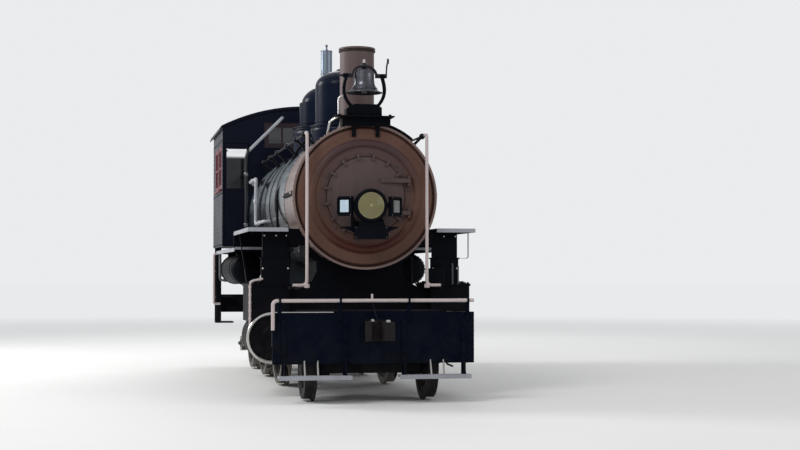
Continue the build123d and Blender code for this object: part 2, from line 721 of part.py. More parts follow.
def dome(radius, base_radius, base_top, cap_radius, shoulder, turn, top):
    """A base ring with a rounded upper edge, an upright drum, a rounded shoulder and a flat crown."""
    rise = atan2(top - shoulder - turn, cap_radius - turn)
    meet = pi / 2 - 2 * rise
    crown = turn + (cap_radius - turn) / cos(meet)
    edge = base_radius - radius

    def on_shoulder(angle):
        return cap_radius - turn + turn * cos(angle), shoulder + turn * sin(angle)

    def on_crown(angle):
        return crown * cos(angle), top - crown + crown * sin(angle)

    edges = [
        Line((0, 3150), (base_radius, 3150)),
        Line((base_radius, 3150), (base_radius, base_top - edge)),
        ThreePointArc((base_radius, base_top - edge), (radius + edge * 0.707, base_top - edge * 0.293),
                      (radius, base_top)),
        Line((radius, base_top), (radius, shoulder)),
        ThreePointArc((cap_radius, shoulder), on_shoulder(meet / 2), on_shoulder(meet)),
        ThreePointArc(on_crown(meet), on_crown((meet + pi / 2) / 2), (0, top)),
        Line((0, top), (0, 3150)),
    ]
    if cap_radius < radius:
        edges.append(Line((radius, shoulder), (cap_radius, shoulder)))
    return edges


sand_edges = dome(sand_dome_radius, 430, 3560, sand_dome_radius, 4105, 165, sand_dome_top)
steam_edges = dome(steam_dome_radius, 455, 3700, steam_cap_radius, 4070, 190, steam_dome_top)
steam_dome = turned_z(steam_edges, 0, steam_dome_y)
keep("sand_dome", turned_z(sand_edges, 0, sand_dome_y) - nodes["boiler_barrel"][0])
keep("steam_dome", steam_dome - nodes["boiler_barrel"][0] - wrapper_space)

whistle = bar_z(26, steam_dome_top - 60, whistle_bottom - 20, whistle_x, steam_dome_y)
whistle += bar_z(whistle_radius - 20, whistle_bottom - 40, whistle_bottom, whistle_x, steam_dome_y)
whistle += bar_z(whistle_radius, whistle_bottom, whistle_top, whistle_x, steam_dome_y)
whistle += bar_z(14, whistle_top, whistle_top + 80, whistle_x, steam_dome_y)
whistle += Pos(whistle_x, steam_dome_y, whistle_top + 78) * Sphere(20)
keep("whistle", whistle - steam_dome)


# Bell on its stand
shelf_top = 3500
shelf_sheet = 16
bell_shelf = block(-400, 340, -170, 160, shelf_top - shelf_sheet, shelf_top)
bell_shelf += block(-300, 310, -40, 150, 3380, shelf_top - shelf_sheet)
for centre in (-150, 150):
    bell_shelf += block(centre - 25, centre + 25, -22, 0, 3245, shelf_top - shelf_sheet)

# A curved cover plate over the shoulder of the smokebox, behind the front ring
cover_ring = bar_y_axis(smokebox_radius + 66, rim_length, stack_y - 335, 0, boiler_z)
cover_low, cover_high = radians(50), radians(106)
wedge = [(0, boiler_z)] + [(1500 * cos(angle), boiler_z + 1500 * sin(angle))
                           for angle in (cover_low, (cover_low + cover_high) / 2, cover_high)]
bell_shelf += cover_ring & plate_y(wedge, 0, stack_y)
bell_shelf -= bar_y_axis(rim_radius, 0, rim_length, 0, boiler_z)
bell_shelf -= bar_y_axis(smokebox_radius, 0, smokebox_length, 0, boiler_z)

arm_half_depth = 30
arm_width = 36
stand_foot = 3655
stand = plate_y([(-250, shelf_top), (200, shelf_top), (200, stand_foot - 45), (150, stand_foot),
                 (-150, stand_foot), (-250, stand_foot - 60)], bell_y - 85, bell_y + 85)
arm_line = Spline((140, stand_foot - 40), (215, stand_foot + 40), (257, bell_z - 210), (250, bell_z - 100),
                  (226, bell_z - 10))


def arm_edge(offset):
    """The arm's middle line moved sideways, as points."""
    edge = []
    for number in range(13):
        point, along = arm_line @ (number / 12), arm_line % (number / 12)
        edge.append((point.X + along.Y * offset, point.Y - along.X * offset))
    return edge


arm = plate_y(arm_edge(arm_width / 2) + arm_edge(-arm_width / 2)[::-1], bell_y - arm_half_depth,
              bell_y + arm_half_depth)
boss_inner, boss_outer, boss_half = 204, 268, 25
arm += block(boss_inner, boss_outer, bell_y - arm_half_depth, bell_y + arm_half_depth, bell_z - boss_half,
             bell_z + boss_half)
trunnion_radius = 15
for side_arm in both(arm):
    stand += Pos(bell_x, 0, 0) * side_arm
stand -= bar_x(trunnion_radius + running_clearance, -500, 500, bell_y, bell_z)
keep("bell_stand", stand + bell_shelf)

mouth_z = bell_z - bell_drop
bell_wall = 14
bell_outer = [(bell_mouth_radius, 0), (205, 15), (165, 50), (137, 100), (127, 140), (125, 200), (122, 250),
              (105, 285), (60, 298), (0, bell_height)]
bell_inner = [(0, bell_height - bell_wall), (58, 283), (94, 272), (108, 245), (111, 200), (113, 140), (124, 95),
              (152, 46), (190, 14), (bell_mouth_radius - bell_wall, 0)]
bell_profile = [(radius, mouth_z + height) for radius, height in bell_outer + bell_inner]
clapper = bar_z(9, mouth_z + 20, mouth_z + bell_height - bell_wall, bell_x, bell_y)
clapper += Pos(bell_x, bell_y, mouth_z + 25) * Sphere(34)
keep("bell", turned_z(Polyline(*bell_profile, close=True), bell_x, bell_y), clapper)

crown_z = mouth_z + bell_height
yoke_half = 168
yoke_bar = 25
yoke_top = crown_z + 56
yoke_end = boss_inner - 6
knob_radius = 46


def yoke_space(half, top):
    """What an arch from one trunnion to the other holds in."""
    turns = [radians(180 * number / 24) for number in range(25)]
    bow = [(half * cos(turn), bell_z + (top - bell_z) * sin(turn)) for turn in turns]
    return plate_y([(half, bell_z - boss_half)] + bow + [(-half, bell_z - boss_half)], bell_y - 26, bell_y + 26)


bell_yoke = yoke_space(yoke_half, yoke_top) - yoke_space(yoke_half - yoke_bar, yoke_top - yoke_bar)
bell_yoke += bar_z(30, crown_z, yoke_top, 0, bell_y)
bell_yoke += Pos(0, bell_y, yoke_top - 12) * Sphere(knob_radius)
for sign, reach in ((-1, 48), (1, 8)):
    bell_yoke += bar_x(trunnion_radius, *sorted((sign * (yoke_half - 5), sign * (boss_outer + reach))), bell_y,
                       bell_z)
    bell_yoke += block(*sorted((sign * (yoke_half - yoke_bar), sign * yoke_end)), bell_y - 26, bell_y + 26,
                       bell_z - boss_half, bell_z + boss_half)
lever_foot, lever_top = boss_outer + 4, bell_z + 212
bell_yoke += plate_y([(lever_foot, bell_z - 24), (lever_foot + 18, bell_z - 24), (lever_foot + 20, bell_z + 60),
                      (lever_foot + 27, bell_z + 130), (lever_foot + 42, lever_top), (lever_foot + 26, lever_top),
                      (lever_foot + 9, bell_z + 135), (lever_foot + 4, bell_z + 60)], bell_y - 9, bell_y + 9)
bell_yoke += bar_z(14, lever_top - 50, lever_top, lever_foot + 32, bell_y)
bell_yoke += Pos(lever_foot + 32, bell_y, lever_top) * Sphere(14)
keep("bell_yoke", Pos(bell_x, 0, 0) * bell_yoke - nodes["bell"][0])


# Handrails along the boiler and down in front of the smokebox
post_places = (150, 950, 1930, 3100, 4050)
wrapper_post = cab_front - 550
post_angle = degrees(atan2(rail_z - boiler_z, rail_x))
rail_bend = 60
rails = []
for sign in (-1, 1):
    rails.append(pipe([(sign * 930, bar_y, bar_foot_z), (sign * rail_x, bar_y, bar_foot_z),
                       (sign * rail_x, bar_y, rail_z), (sign * rail_x, bar_y + 2 * rail_bend, rail_z)],
                      rail_radius, rail_bend))
long_rail = bar_y_axis(thin_rail_radius, bar_y + 2 * rail_bend, cab_front, rail_x, rail_z)
posts = both(long_rail)
for place in post_places + (wrapper_post,):
    reach = sqrt(rail_x ** 2 + (rail_z - boiler_z) ** 2)
    stem = Pos(0, 0, (reach + 800) / 2) * Cylinder(18, reach - 800) + Pos(0, 0, 905) * Cylinder(36, 40)
    post = Pos(0, place, boiler_z) * Rot(0, 90 - post_angle, 0) * stem
    post += Pos(rail_x, place, rail_z) * Sphere(36)
    post = post - long_rail - smokebox_space - barrel_space - wrapper_space
    posts += both(post - nodes["boiler_barrel"][0])
keep("handrail_posts", posts)
foot_bracket = block(905, 965, bar_y - 30, chest_front, bar_foot_z - 50, bar_foot_z - rail_radius)


# Running boards with their edges, brackets and front stands
boards = [
    block(board_inner, board_outer, board_front, board_step, front_board_z - board_thickness, front_board_z),
    block(board_inner, board_outer, board_step - board_thickness, board_step, rear_board_z,
          front_board_z - board_thickness),
    block(rear_board_inner, board_outer, board_step - board_thickness, cab_front,
          rear_board_z - board_thickness, rear_board_z),
]
edge = 14
boards.append(block(board_outer, board_outer + edge, board_step - 20, board_step + edge, rear_board_z,
                    front_board_z - edge_height))
edges = [
    block(board_outer, board_outer + edge, board_front - edge, board_step + edge, front_board_z - edge_height,
          front_board_z)
    + block(board_inner, board_outer, board_front - edge, board_front, front_board_z - edge_height, front_board_z),
    block(board_outer, board_outer + edge, board_step - 20, cab_front, rear_board_z - edge_height, rear_board_z),
    block(rear_board_inner, board_outer, board_step - board_thickness - edge, board_step - board_thickness,
          rear_board_z - board_thickness - 12, rear_board_z + 12),
]
keep("board_edges", edges, [other_side(piece) for piece in edges])

bracket_places = (260, 1500, 2800, 3900, 5000)
for place in bracket_places:
    top = (front_board_z if place < board_step else rear_board_z) - board_thickness
    arm = plate_y([(600, top), (board_outer - 40, top), (board_outer - 40, top - 40), (965, top - 50),
                   (900, top - 210), (600, top - 210)], place - 8, place + 8)
    arm = arm - bar_y_axis(rim_radius, -10, rim_length, 0, boiler_z) - smokebox_space - nodes["boiler_barrel"][0]
    boards.append(arm - wrapper_space)
keep("running_boards", boards, [other_side(piece) for piece in boards])

stand_z = chest_top + 32
stand_low = block(910, 1270, chest_front, chest_front + 60, stand_z, 1740)
stand_low += block(895, 1285, chest_front - 8, chest_front + 68, 1722, 1740)
stand_low += block(925, 1255, chest_front + 6, chest_front + 54, 1740, front_board_z - board_thickness)
keep("cylinders", both(cylinder() + chest_cover() + stand_low + foot_bracket))


# Front end
beam = block(-beam_half_width, beam_half_width, beam_front, beam_front + beam_thickness, beam_bottom, frame_top)
coupler_z = 850
apron = block(-beam_half_width, beam_half_width, beam_front, beam_front + 16, 450, beam_bottom)
deck = block(-890, 890, beam_front, chest_front + 60, frame_top, frame_top + 12)
keep("front_beam", beam + apron + deck)
# The footboards clear the pony wheels with the truck steered right over
footboard_front, footboard_back = beam_front - 130, beam_front + 24
footboard_low, footboard_top = 290, 315
hanger = 16
footboards, hangers = [], []
for sign in (-1, 1):
    x0, x1 = sorted((sign * 290, sign * 1170))
    footboards.append(block(x0, x1, footboard_front, footboard_back, footboard_low, footboard_top)
                      + block(x0, x1, footboard_front - 12, footboard_front, footboard_low - 22,
                              footboard_top + 5))
    for centre in (sign * 360, sign * 1100):
        strap = block(centre - 28, centre + 28, beam_front - hanger, beam_front, footboard_top, 980)
        strap += plate_x([(beam_front - hanger, footboard_top), (beam_front - hanger, 480),
                          (beam_front - hanger - 12, 480), (footboard_front + 10, footboard_top + 14),
                          (footboard_front + 10, footboard_top)], centre - 8, centre + 8)
        hangers.append(strap)
keep("footboards", footboards)

lever_z = 1210
lever_y = beam_front - 34
lever_radius = 22
lever = pipe([(-1232, lever_y, 860), (-1232, lever_y, lever_z), (1224, lever_y, lever_z)], lever_radius, 50)
lever += bar_z(13, lever_z, lever_z + 80, -35, lever_y)
keep("uncoupling_lever", lever)
lever_brackets = []
for centre in (-1150, -420, 420, 1150):
    bracket = block(centre - 25, centre + 25, beam_front - 12, beam_front, 960, lever_z + 26)
    bracket += block(centre - 12, centre + 12, lever_y - 30, beam_front - 12, lever_z - 30, lever_z + 30)
    lever_brackets.append(bracket - lever)
keep("beam_brackets", hangers, lever_brackets)

# Knuckle coupler: shank, head with its guard arm, and the hinged knuckle
shank = block(-70, 70, beam_front - 190, beam_front, coupler_z - 80, coupler_z + 80)
head_outline = [(-95, beam_front - 160), (95, beam_front - 160), (150, beam_front - 250),
                (175, beam_front - 330), (120, beam_front - 345), (40, beam_front - 250),
                (-60, beam_front - 265), (-110, beam_front - 430), (-175, beam_front - 450),
                (-165, beam_front - 300)]
coupler_head = plate_z(head_outline, coupler_z - 115, coupler_z + 115)
coupler = shank + coupler_head + block(-120, 120, beam_front - 30, beam_front, coupler_z - 130, coupler_z + 130)
knuckle_outline = [(40, beam_front - 262), (112, beam_front - 340), (176, beam_front - 342),
                   (178, beam_front - 400), (120, beam_front - 462), (40, beam_front - 452),
                   (20, beam_front - 400), (70, beam_front - 385), (60, beam_front - 330)]
knuckle = plate_z(knuckle_outline, coupler_z - 108, coupler_z + 108) - coupler_head
keep("coupler", coupler, knuckle)


# Rear end
rear_beam = block(-1250, 1250, rear_beam_front, rear_beam_front + rear_beam_thickness, 880, 1180)
drawbar_end = rear_beam_front + 720
drawbar_z = 1010
drawbar = block(-75, 75, rear_beam_front + rear_beam_thickness, drawbar_end - 90, drawbar_z - 40, drawbar_z + 40)
drawbar += bar_z(100, drawbar_z - 40, drawbar_z + 40, 0, drawbar_end - 100)
drawbar_bore = 45
drawbar -= bar_z(drawbar_bore, 0, 2000, 0, drawbar_end - 100)
drawbar += block(-150, 150, rear_beam_front + rear_beam_thickness,
                 rear_beam_front + rear_beam_thickness + 40, drawbar_z - 110, drawbar_z + 110)
keep("drawbar", drawbar)


# Cab
def roof_arc(half_width, low, apex):
    """Edges of an arch from one eave to the other."""
    return ThreePointArc((-half_width, low), (0, apex), (half_width, low))


wall_top = make_face([roof_arc(cab_half_width, eave_z, roof_apex_z),
                      Line((cab_half_width, eave_z), (cab_half_width, cab_bottom)),
                      Line((cab_half_width, cab_bottom), (-cab_half_width, cab_bottom)),
                      Line((-cab_half_width, cab_bottom), (-cab_half_width, eave_z))])
front_wall = extrude(Plane.XZ.offset(-(cab_front + cab_wall)) * wall_top, cab_wall)
door_inner_x, door_outer_x = 945, cab_half_width - 35
door_low, door_high = cab_bottom + 40, 3620
window_inner, window_outer = 120, 690
window_low, window_high = 3560, 3960
front_wall -= wrapper_space
cab_gap = 6
front_doors_space = block(door_inner_x - cab_gap, door_outer_x + cab_gap, cab_front - 100, cab_front + 200,
                          door_low - cab_gap, door_high + cab_gap)
for opening in both(front_doors_space):
    front_wall -= opening
front_window = block(window_inner, window_outer, cab_front - 100, cab_front + 200, window_low, window_high)
for opening in both(front_window):
    front_wall -= opening

# The narrow front doors hang on three hinges each
door_hinge_x, door_hinge_y = door_outer_x + cab_gap, cab_front - 10
door_pin_radius, door_knuckle = 4, 9
door_hinge_heights = (2200, 2850, 3500)
wall_knuckles, door_knuckles = [], []
for height in door_hinge_heights:
    fixed = bar_z(door_pin_radius, height - 34, height + 34, door_hinge_x, door_hinge_y)
    for low in (height - 34, height + 19):
        fixed += bar_z(door_knuckle, low, low + 15, door_hinge_x, door_hinge_y)
        fixed += block(door_hinge_x, door_hinge_x + 26, door_hinge_y, cab_front, low, low + 15)
    wall_knuckles.append(fixed)
    moving = bar_z(door_knuckle, height - 14, height + 14, door_hinge_x, door_hinge_y)
    moving += block(door_hinge_x - 50, door_hinge_x, door_hinge_y, cab_front + 4, height - 14, height + 14)
    door_knuckles.append(moving - bar_z(door_pin_radius + running_clearance, 0, beyond, door_hinge_x, door_hinge_y))
for fixed in wall_knuckles:
    front_wall = front_wall + fixed + other_side(fixed)
keep("cab_front", front_wall)

side_windows = ((cab_front + 210, cab_front + 810), (cab_front + 920, cab_front + 1520))
side_low, side_high = 2900, 3600
side_wall = block(cab_half_width - cab_wall, cab_half_width, cab_front + cab_wall, cab_back, cab_bottom, eave_z)
for start, stop in side_windows:
    side_wall -= block(0, beyond, start, stop, side_low, side_high)
keep("cab_sides", both(side_wall))

roof_over = 30
roof_front, roof_back = cab_front - 30, cab_back + 360
roof_outer = make_face([roof_arc(cab_half_width + roof_over, eave_z + roof_thickness - 20,
                                 roof_apex_z + roof_thickness),
                        Line((cab_half_width + roof_over, eave_z + roof_thickness - 20),
                             (cab_half_width + roof_over, eave_z - 60)),
                        Line((cab_half_width + roof_over, eave_z - 60), (-cab_half_width - roof_over, eave_z - 60)),
                        Line((-cab_half_width - roof_over, eave_z - 60),
                             (-cab_half_width - roof_over, eave_z + roof_thickness - 20))])
roof = extrude(Plane.XZ.offset(-roof_back) * roof_outer, roof_back - roof_front)
under_roof = make_face([roof_arc(cab_half_width, eave_z, roof_apex_z),
                        Line((cab_half_width, eave_z), (cab_half_width + 400, eave_z - 20)),
                        Line((cab_half_width + 400, eave_z - 20), (cab_half_width + 400, 0)),
                        Line((cab_half_width + 400, 0), (-cab_half_width - 400, 0)),
                        Line((-cab_half_width - 400, 0), (-cab_half_width - 400, eave_z - 20)),
                        Line((-cab_half_width - 400, eave_z - 20), (-cab_half_width, eave_z))])
roof -= extrude(Plane.XZ.offset(-roof_back - 100) * under_roof, roof_back - roof_front + 200)
keep("cab_roof", roof)

floor = block(-cab_half_width + cab_wall, cab_half_width - cab_wall, cab_front + cab_wall, cab_back, cab_bottom,
              cab_bottom + 30)

# Window frames and glass
frame_bar = 70
frame_depth = 30
frames_list, glass_list = [], []
for start, stop in side_windows:
    frame_piece = block(cab_half_width - frame_depth, cab_half_width - 2, start, stop, side_low, side_high)
    hole = block(0, 2000, start + frame_bar, stop - frame_bar, side_low + frame_bar, side_high - frame_bar)
    frames_list += both(frame_piece - hole)
    pane = block(cab_half_width - 22, cab_half_width - 14, start + frame_bar, stop - frame_bar,
                 side_low + frame_bar, side_high - frame_bar)
    glass_list += both(pane)
window_blank = block(window_inner, window_outer, cab_front + 2, cab_front + frame_depth, window_low, window_high)
window_hole = block(window_inner + frame_bar, window_outer - frame_bar, 0, beyond, window_low + frame_bar, window_high - frame_bar)
frames_list += both(window_blank - window_hole)
glass_list += both(block(window_inner + frame_bar, window_outer - frame_bar, cab_front + 14, cab_front + 22,
                         window_low + frame_bar, window_high - frame_bar))
keep("window_frames", frames_list)
keep("window_glass", glass_list)

# Narrow front doors
door_glass_low = 2890
pane_side = 30
cab_door = block(door_inner_x, door_outer_x, cab_front + 4, cab_front + 38, door_low, door_high)
cab_door -= block(door_inner_x + pane_side, door_outer_x - pane_side, 0, beyond, door_glass_low, door_high - 80)
cab_door = fillet(cab_door.edges().filter_by(Axis.Y).group_by(Axis.Z)[-1], 40)
for moving in door_knuckles:
    cab_door += moving
keep("cab_door_left", other_side(cab_door))
keep("cab_door_right", cab_door)

seats = []
for sign in (-1, 1):
    x0, x1 = sorted((sign * 945, sign * (cab_half_width - cab_wall)))
    seats.append(block(x0, x1, 6500, 7100, 2000, 2420))
keep("cab_floor", floor - wrapper_space + seats[0] + seats[1])

# Steps below the cab doors: two straps with three treads
step_front, step_back = cab_back - 380, cab_back - 80
strap_inner, step_outer = cab_half_width - 110, cab_half_width - 20
tread_inner = cab_half_width - 320
tread_thickness, strap_thickness = 25, 30
step_low, step_pitch = 700, 430
for sign in (-1, 1):
    x0, x1 = sorted((sign * strap_inner, sign * step_outer))
    step = block(x0, x1, step_front, step_front + strap_thickness, step_low, cab_bottom)
    step += block(x0, x1, step_back - strap_thickness, step_back, step_low, cab_bottom)
    x0, x1 = sorted((sign * tread_inner, sign * step_outer))
    for tread_z in (step_low, step_low + step_pitch, step_low + 2 * step_pitch):
        step += block(x0, x1, step_front, step_back, tread_z, tread_z + tread_thickness)
    rear_beam += step
keep("rear_beam", rear_beam)


# Air reservoirs, pump and pipes
tank_x, tank_z, tank_radius = 1200, 1600, 220
tank_front, tank_back = 3000, 5200
tank_head = ((0, 0), (120, 12), (190, 45), (tank_radius, 90))
tank = turned_y([(radius, tank_front + depth) for radius, depth in tank_head]
                + [(radius, tank_back - depth) for radius, depth in reversed(tank_head)], tank_x, tank_z)
for place in (tank_front + 350, tank_back - 350):
    strap = bar_y_axis(tank_radius + 8, place, place + 60, tank_x, tank_z)
    strap += block(tank_x - 120, tank_x + 120, place, place + 60, tank_z, rear_board_z - board_thickness)
    tank += strap
keep("air_reservoirs", both(tank))

pump_x, pump_y = 1130, 3400
pump = bar_z(130, 2420, 2760, pump_x, pump_y) + bar_z(145, 2760, 2800, pump_x, pump_y)
pump += bar_z(70, 2300, 2420, pump_x, pump_y) + bar_z(150, rear_board_z + 60, 2300, pump_x, pump_y)
pump += bar_z(60, 2800, 2860, pump_x, pump_y)
for low, high in ((2480, 2560), (1990, 2070)):
    pump += block(800, pump_x, pump_y - 60, pump_y + 60, low, high)
keep("air_pump", pump - barrel_space)

pipe_radius = 26
cab_pipe = pipe([(-410, cab_front, 4040), (-410, cab_front - 110, 4040), (-1010, cab_front - 340, 3440),
                 (-1010, cab_front - 340, rear_board_z)], pipe_radius, [80, 160])
side_pipe = pipe([(-865, cab_front, 2960), (-865, cab_front - 450, 2960), (-970, cab_front - 600, 2960),
                  (-970, 4060, 2960), (-970, 4060, 2280), (-970, 2950, 2280), (60 - barrel_radius, 2950, 2280)],
                 pipe_radius, 60)
keep("boiler_pipes", cab_pipe - wrapper_space - barrel_space, side_pipe - barrel_space)

rail_root = board_outer + edge
side_rail = pipe([(rail_root, 5400, 1850), (rail_root + 46, 5400, 1850), (rail_root + 46, 5400, 1060),
                  (1400, 5400, 1060)], 18, 26)
keep("handrails", rails, both(side_rail))


# Write every node
coupler_front = min(solid.bounding_box().min.Y for solid in nodes["coupler"])
rear_end = max(solid.bounding_box().max.Y for solid in nodes["drawbar"] + nodes["cab_roof"])
middle = (coupler_front + rear_end) / 2
to_origin = Location((0, -middle, flange_depth))

os.makedirs("parts", exist_ok=True)
for name, solids in nodes.items():
    export_step(Compound([solid.moved(to_origin) for solid in solids]), f"parts/{name}.step")
print(len(nodes), "nodes; the origin is", round(middle, 1), "mm behind the smokebox face")
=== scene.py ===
"""Steam locomotive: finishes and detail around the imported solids."""
import json
from math import pi, radians

import bmesh
import bpy
import numpy as np
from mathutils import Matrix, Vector


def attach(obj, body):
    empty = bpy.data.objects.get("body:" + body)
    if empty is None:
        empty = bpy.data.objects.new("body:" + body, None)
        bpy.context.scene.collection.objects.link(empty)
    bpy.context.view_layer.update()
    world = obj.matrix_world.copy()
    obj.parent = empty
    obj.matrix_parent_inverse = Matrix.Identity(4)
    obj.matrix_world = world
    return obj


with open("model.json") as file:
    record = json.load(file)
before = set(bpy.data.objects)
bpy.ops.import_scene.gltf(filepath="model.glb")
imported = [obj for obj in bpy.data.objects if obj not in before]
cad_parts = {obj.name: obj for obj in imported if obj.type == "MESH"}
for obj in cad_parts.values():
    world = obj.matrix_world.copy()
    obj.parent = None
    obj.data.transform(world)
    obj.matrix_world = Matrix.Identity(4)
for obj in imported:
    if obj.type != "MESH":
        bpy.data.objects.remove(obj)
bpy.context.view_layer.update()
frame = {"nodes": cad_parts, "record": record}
solids = frame["nodes"]

# Camera: at eye height, left of the engine's middle and tilted a little up. The lens has the
# photograph's angle of view, and every distance is in metres.
camera = bpy.data.objects.new("camera", bpy.data.cameras.new("camera"))
camera.data.lens = 67.5
camera.data.sensor_width = 36
camera.location = (-3.196, -21.963, 1.558)
camera.rotation_euler = (radians(91.87), 0, radians(-11.13))
bpy.context.scene.collection.objects.link(camera)
bpy.context.scene.camera = camera
bpy.context.scene.view_settings.view_transform = "Standard"


# Floor and light: a pale floor that runs out to a pale background, a white sky and soft lamps.
# The sky is brighter for the camera, and in gloss, than it is as light on the object.
class Wire:
    """One output socket of a node tree. Arithmetic on it adds Math nodes."""

    def __init__(self, tree, socket):
        self.tree = tree
        self.socket = socket

    def node(self, kind, settings=None, inputs=None, out=0):
        """Any node: its settings are set first, then the values or links of its sockets."""
        made = self.tree.nodes.new("ShaderNode" + kind)
        for key, value in (settings or {}).items():
            setattr(made, key, value)
        for key, value in (inputs or {}).items():
            if isinstance(value, Wire):
                self.tree.links.new(value.socket, made.inputs[key])
            else:
                made.inputs[key].default_value = value
        return Wire(self.tree, made.outputs[out])

    def math(self, operation, *values):
        return self.node("Math", {"operation": operation}, dict(enumerate(values)))

    def __add__(self, other):
        return self.math("ADD", self, other)

    def __sub__(self, other):
        return self.math("SUBTRACT", self, other)

    def __rsub__(self, other):
        return self.math("SUBTRACT", other, self)

    def __mul__(self, other):
        return self.math("MULTIPLY", self, other)

    __radd__ = __add__

    def ramp(self, low, high):
        """0 below low, 1 above high, straight between."""
        return self.node("MapRange", {}, {0: self, 1: low, 2: high})

    def mix(self, below, above):
        """The first colour where this is 0, the second where it is 1."""
        return self.node("Mix", {"data_type": "RGBA"}, {0: self, 6: below, 7: above}, out=2)

    def stretched(self, x, y, z):
        return self.node("VectorMath", {"operation": "MULTIPLY"}, {0: self, 1: (x, y, z)})

    def noise(self, scale, detail=3.0, roughness=0.55):
        return self.node("TexNoise", {}, {"Vector": self, "Scale": scale, "Detail": detail,
                                          "Roughness": roughness})

    def part(self, number):
        return self.node("SeparateXYZ", {}, {0: self}, out=number)


def shade(red, green, blue):
    """An sRGB colour from 0 to 255 as the linear one that a shader takes."""
    level = np.array([red, green, blue]) / 255
    level = np.where(level <= 0.04045, level / 12.92, ((level + 0.055) / 1.055) ** 2.4)
    return tuple(float(v) for v in level) + (1.0,)


def start(name):
    """A new material: the material, its main shader and the surface's own coordinates."""
    material = bpy.data.materials.new(name)
    material.use_nodes = True
    tree = material.node_tree
    place = Wire(tree, tree.nodes.new("ShaderNodeTexCoord").outputs["Object"])
    return material, tree.nodes["Principled BSDF"], place


def connect(wire, shader, name):
    wire.tree.links.new(wire.socket, shader.inputs[name])


def hold(shader, **levels):
    """Constant levels on a shader's inputs, whose names are written with underscores."""
    for name, level in levels.items():
        shader.inputs[name.replace("_", " ")].default_value = level


def floor_finish():
    """Pale screed with the faintest cloudiness, paler still to the camera at a distance."""
    material, shader, place = start("pale_floor")
    connect(place.noise(0.35).mix(shade(228, 228, 226), shade(236, 236, 234)), shader, "Base Color")
    hold(shader, Roughness=0.9, Specular_IOR_Level=0.1)
    tree = place.tree
    glow = tree.nodes.new("ShaderNodeEmission")
    glow.inputs["Color"].default_value = shade(232, 234, 236)
    blend = tree.nodes.new("ShaderNodeMixShader")
    far = place.node("VectorMath", {"operation": "LENGTH"}, {0: place}, out=1).ramp(7.0, 34.0)
    camera_ray = Wire(tree, tree.nodes.new("ShaderNodeLightPath").outputs["Is Camera Ray"])
    tree.links.new((far * camera_ray).socket, blend.inputs[0])
    tree.links.new(shader.outputs[0], blend.inputs[1])
    tree.links.new(glow.outputs[0], blend.inputs[2])
    tree.links.new(blend.outputs[0], tree.nodes["Material Output"].inputs["Surface"])
    return material


bpy.ops.mesh.primitive_grid_add(x_subdivisions=8, y_subdivisions=8, size=400)
floor = bpy.context.object
floor.name = "floor"
floor.data.materials.append(floor_finish())

sky = bpy.data.worlds.new("sky")
bpy.context.scene.world = sky
sky.use_nodes = True
sky_tree = sky.node_tree
rays = sky_tree.nodes.new("ShaderNodeLightPath").outputs
seen = Wire(sky_tree, rays["Is Camera Ray"])
seen = seen.math("MAXIMUM", seen, Wire(sky_tree, rays["Is Transmission Ray"]))
mirrored = Wire(sky_tree, rays["Is Glossy Ray"])
background = sky_tree.nodes["Background"]
background.inputs["Color"].default_value = shade(238, 240, 242)
connect(0.56 + seen * 0.4 + mirrored * 0.2, background, "Strength")


def lamp(name, place, aim, size, power):
    """A square soft lamp turned to face a point."""
    light = bpy.data.objects.new(name, bpy.data.lights.new(name, "AREA"))
    light.data.size = size
    light.data.energy = power
    light.location = place
    light.rotation_euler = (Vector(aim) - Vector(place)).to_track_quat("-Z", "Y").to_euler()
    bpy.context.scene.collection.objects.link(light)


lamp("left_lamp", (-11, -13, 14), (0, -2, 2), 7, 1350)
lamp("right_lamp", (13, -12, 8), (0, -2, 2), 8, 380)
lamp("side_lamp", (-13, 6, 9), (0, 0, 2.4), 5, 1500)
lamp("back_lamp", (4, 15, 13), (0, 2, 2), 8, 900)


# Frames, stays, springs and brakes: flame-cut and forged bars in oily black paint, dusty low
# down. Bolts with nuts outside hold the pedestal caps and the stays to the bars.
def emboss(height, shader, strength, distance):
    """Bump on a surface, from a height that varies over it."""
    bump = height.node("Bump", {}, {"Strength": strength, "Distance": distance, "Height": height})
    connect(bump, shader, "Normal")


def paint(name, colour, faded, roughness, dust=0.35, streaks=0.4, specular=0.35, lumps=0.0, oil=0.0,
          coat=0.0, painted_light=None):
    """Enamel: noise for fading, noise drawn out downwards for streaks, dust on faces that look up.
    A painted light is a test of place and upward facing, and the colour of painted sheen or painted shade
    that holds where it is true."""
    material, shader, place = start(name)
    colour, faded = shade(*colour), shade(*faded)
    broad = place.noise(1.1, 4.0, 0.6).ramp(0.35, 0.68)
    runs = place.stretched(9, 9, 0.7).noise(1.0, 3.0, 0.6).ramp(0.45, 0.8)
    fine = place.noise(45.0, 2.0)
    facing = Wire(place.tree, place.socket.node.outputs["Normal"]).part(2)
    dusty = facing.ramp(0.25, 0.95) * place.noise(3.0, 5.0, 0.7).ramp(0.25, 0.75) * dust
    low = place.part(2).ramp(1.5, 0.2) * place.noise(5.0, 4.0, 0.65).ramp(0.3, 0.8) * dust * 0.7
    base = (broad * 0.55 + runs * streaks * 0.6 + fine * 0.08).mix(colour, faded)
    if painted_light:
        base = painted_light[0](place, facing).mix(base, painted_light[1])
    base = (dusty + low).mix(base, shade(92, 86, 80))
    if oil:
        base = (place.noise(2.6, 5.0, 0.7).ramp(0.5, 0.72) * oil).mix(base, shade(13, 11, 10))
    connect(base, shader, "Base Color")
    connect(fine * 0.12 + broad * 0.08 + (dusty + low) * 0.5 + (roughness - 0.08), shader, "Roughness")
    height = place.noise(160.0, 2.0) * 0.25 + place.noise(2.4, 2.0) * 3.0 + place.noise(34.0, 3.0) * lumps
    emboss(height, shader, 0.5, 0.0012)
    hold(shader, Specular_IOR_Level=specular, Coat_Weight=coat, Coat_Roughness=0.14)
    return material


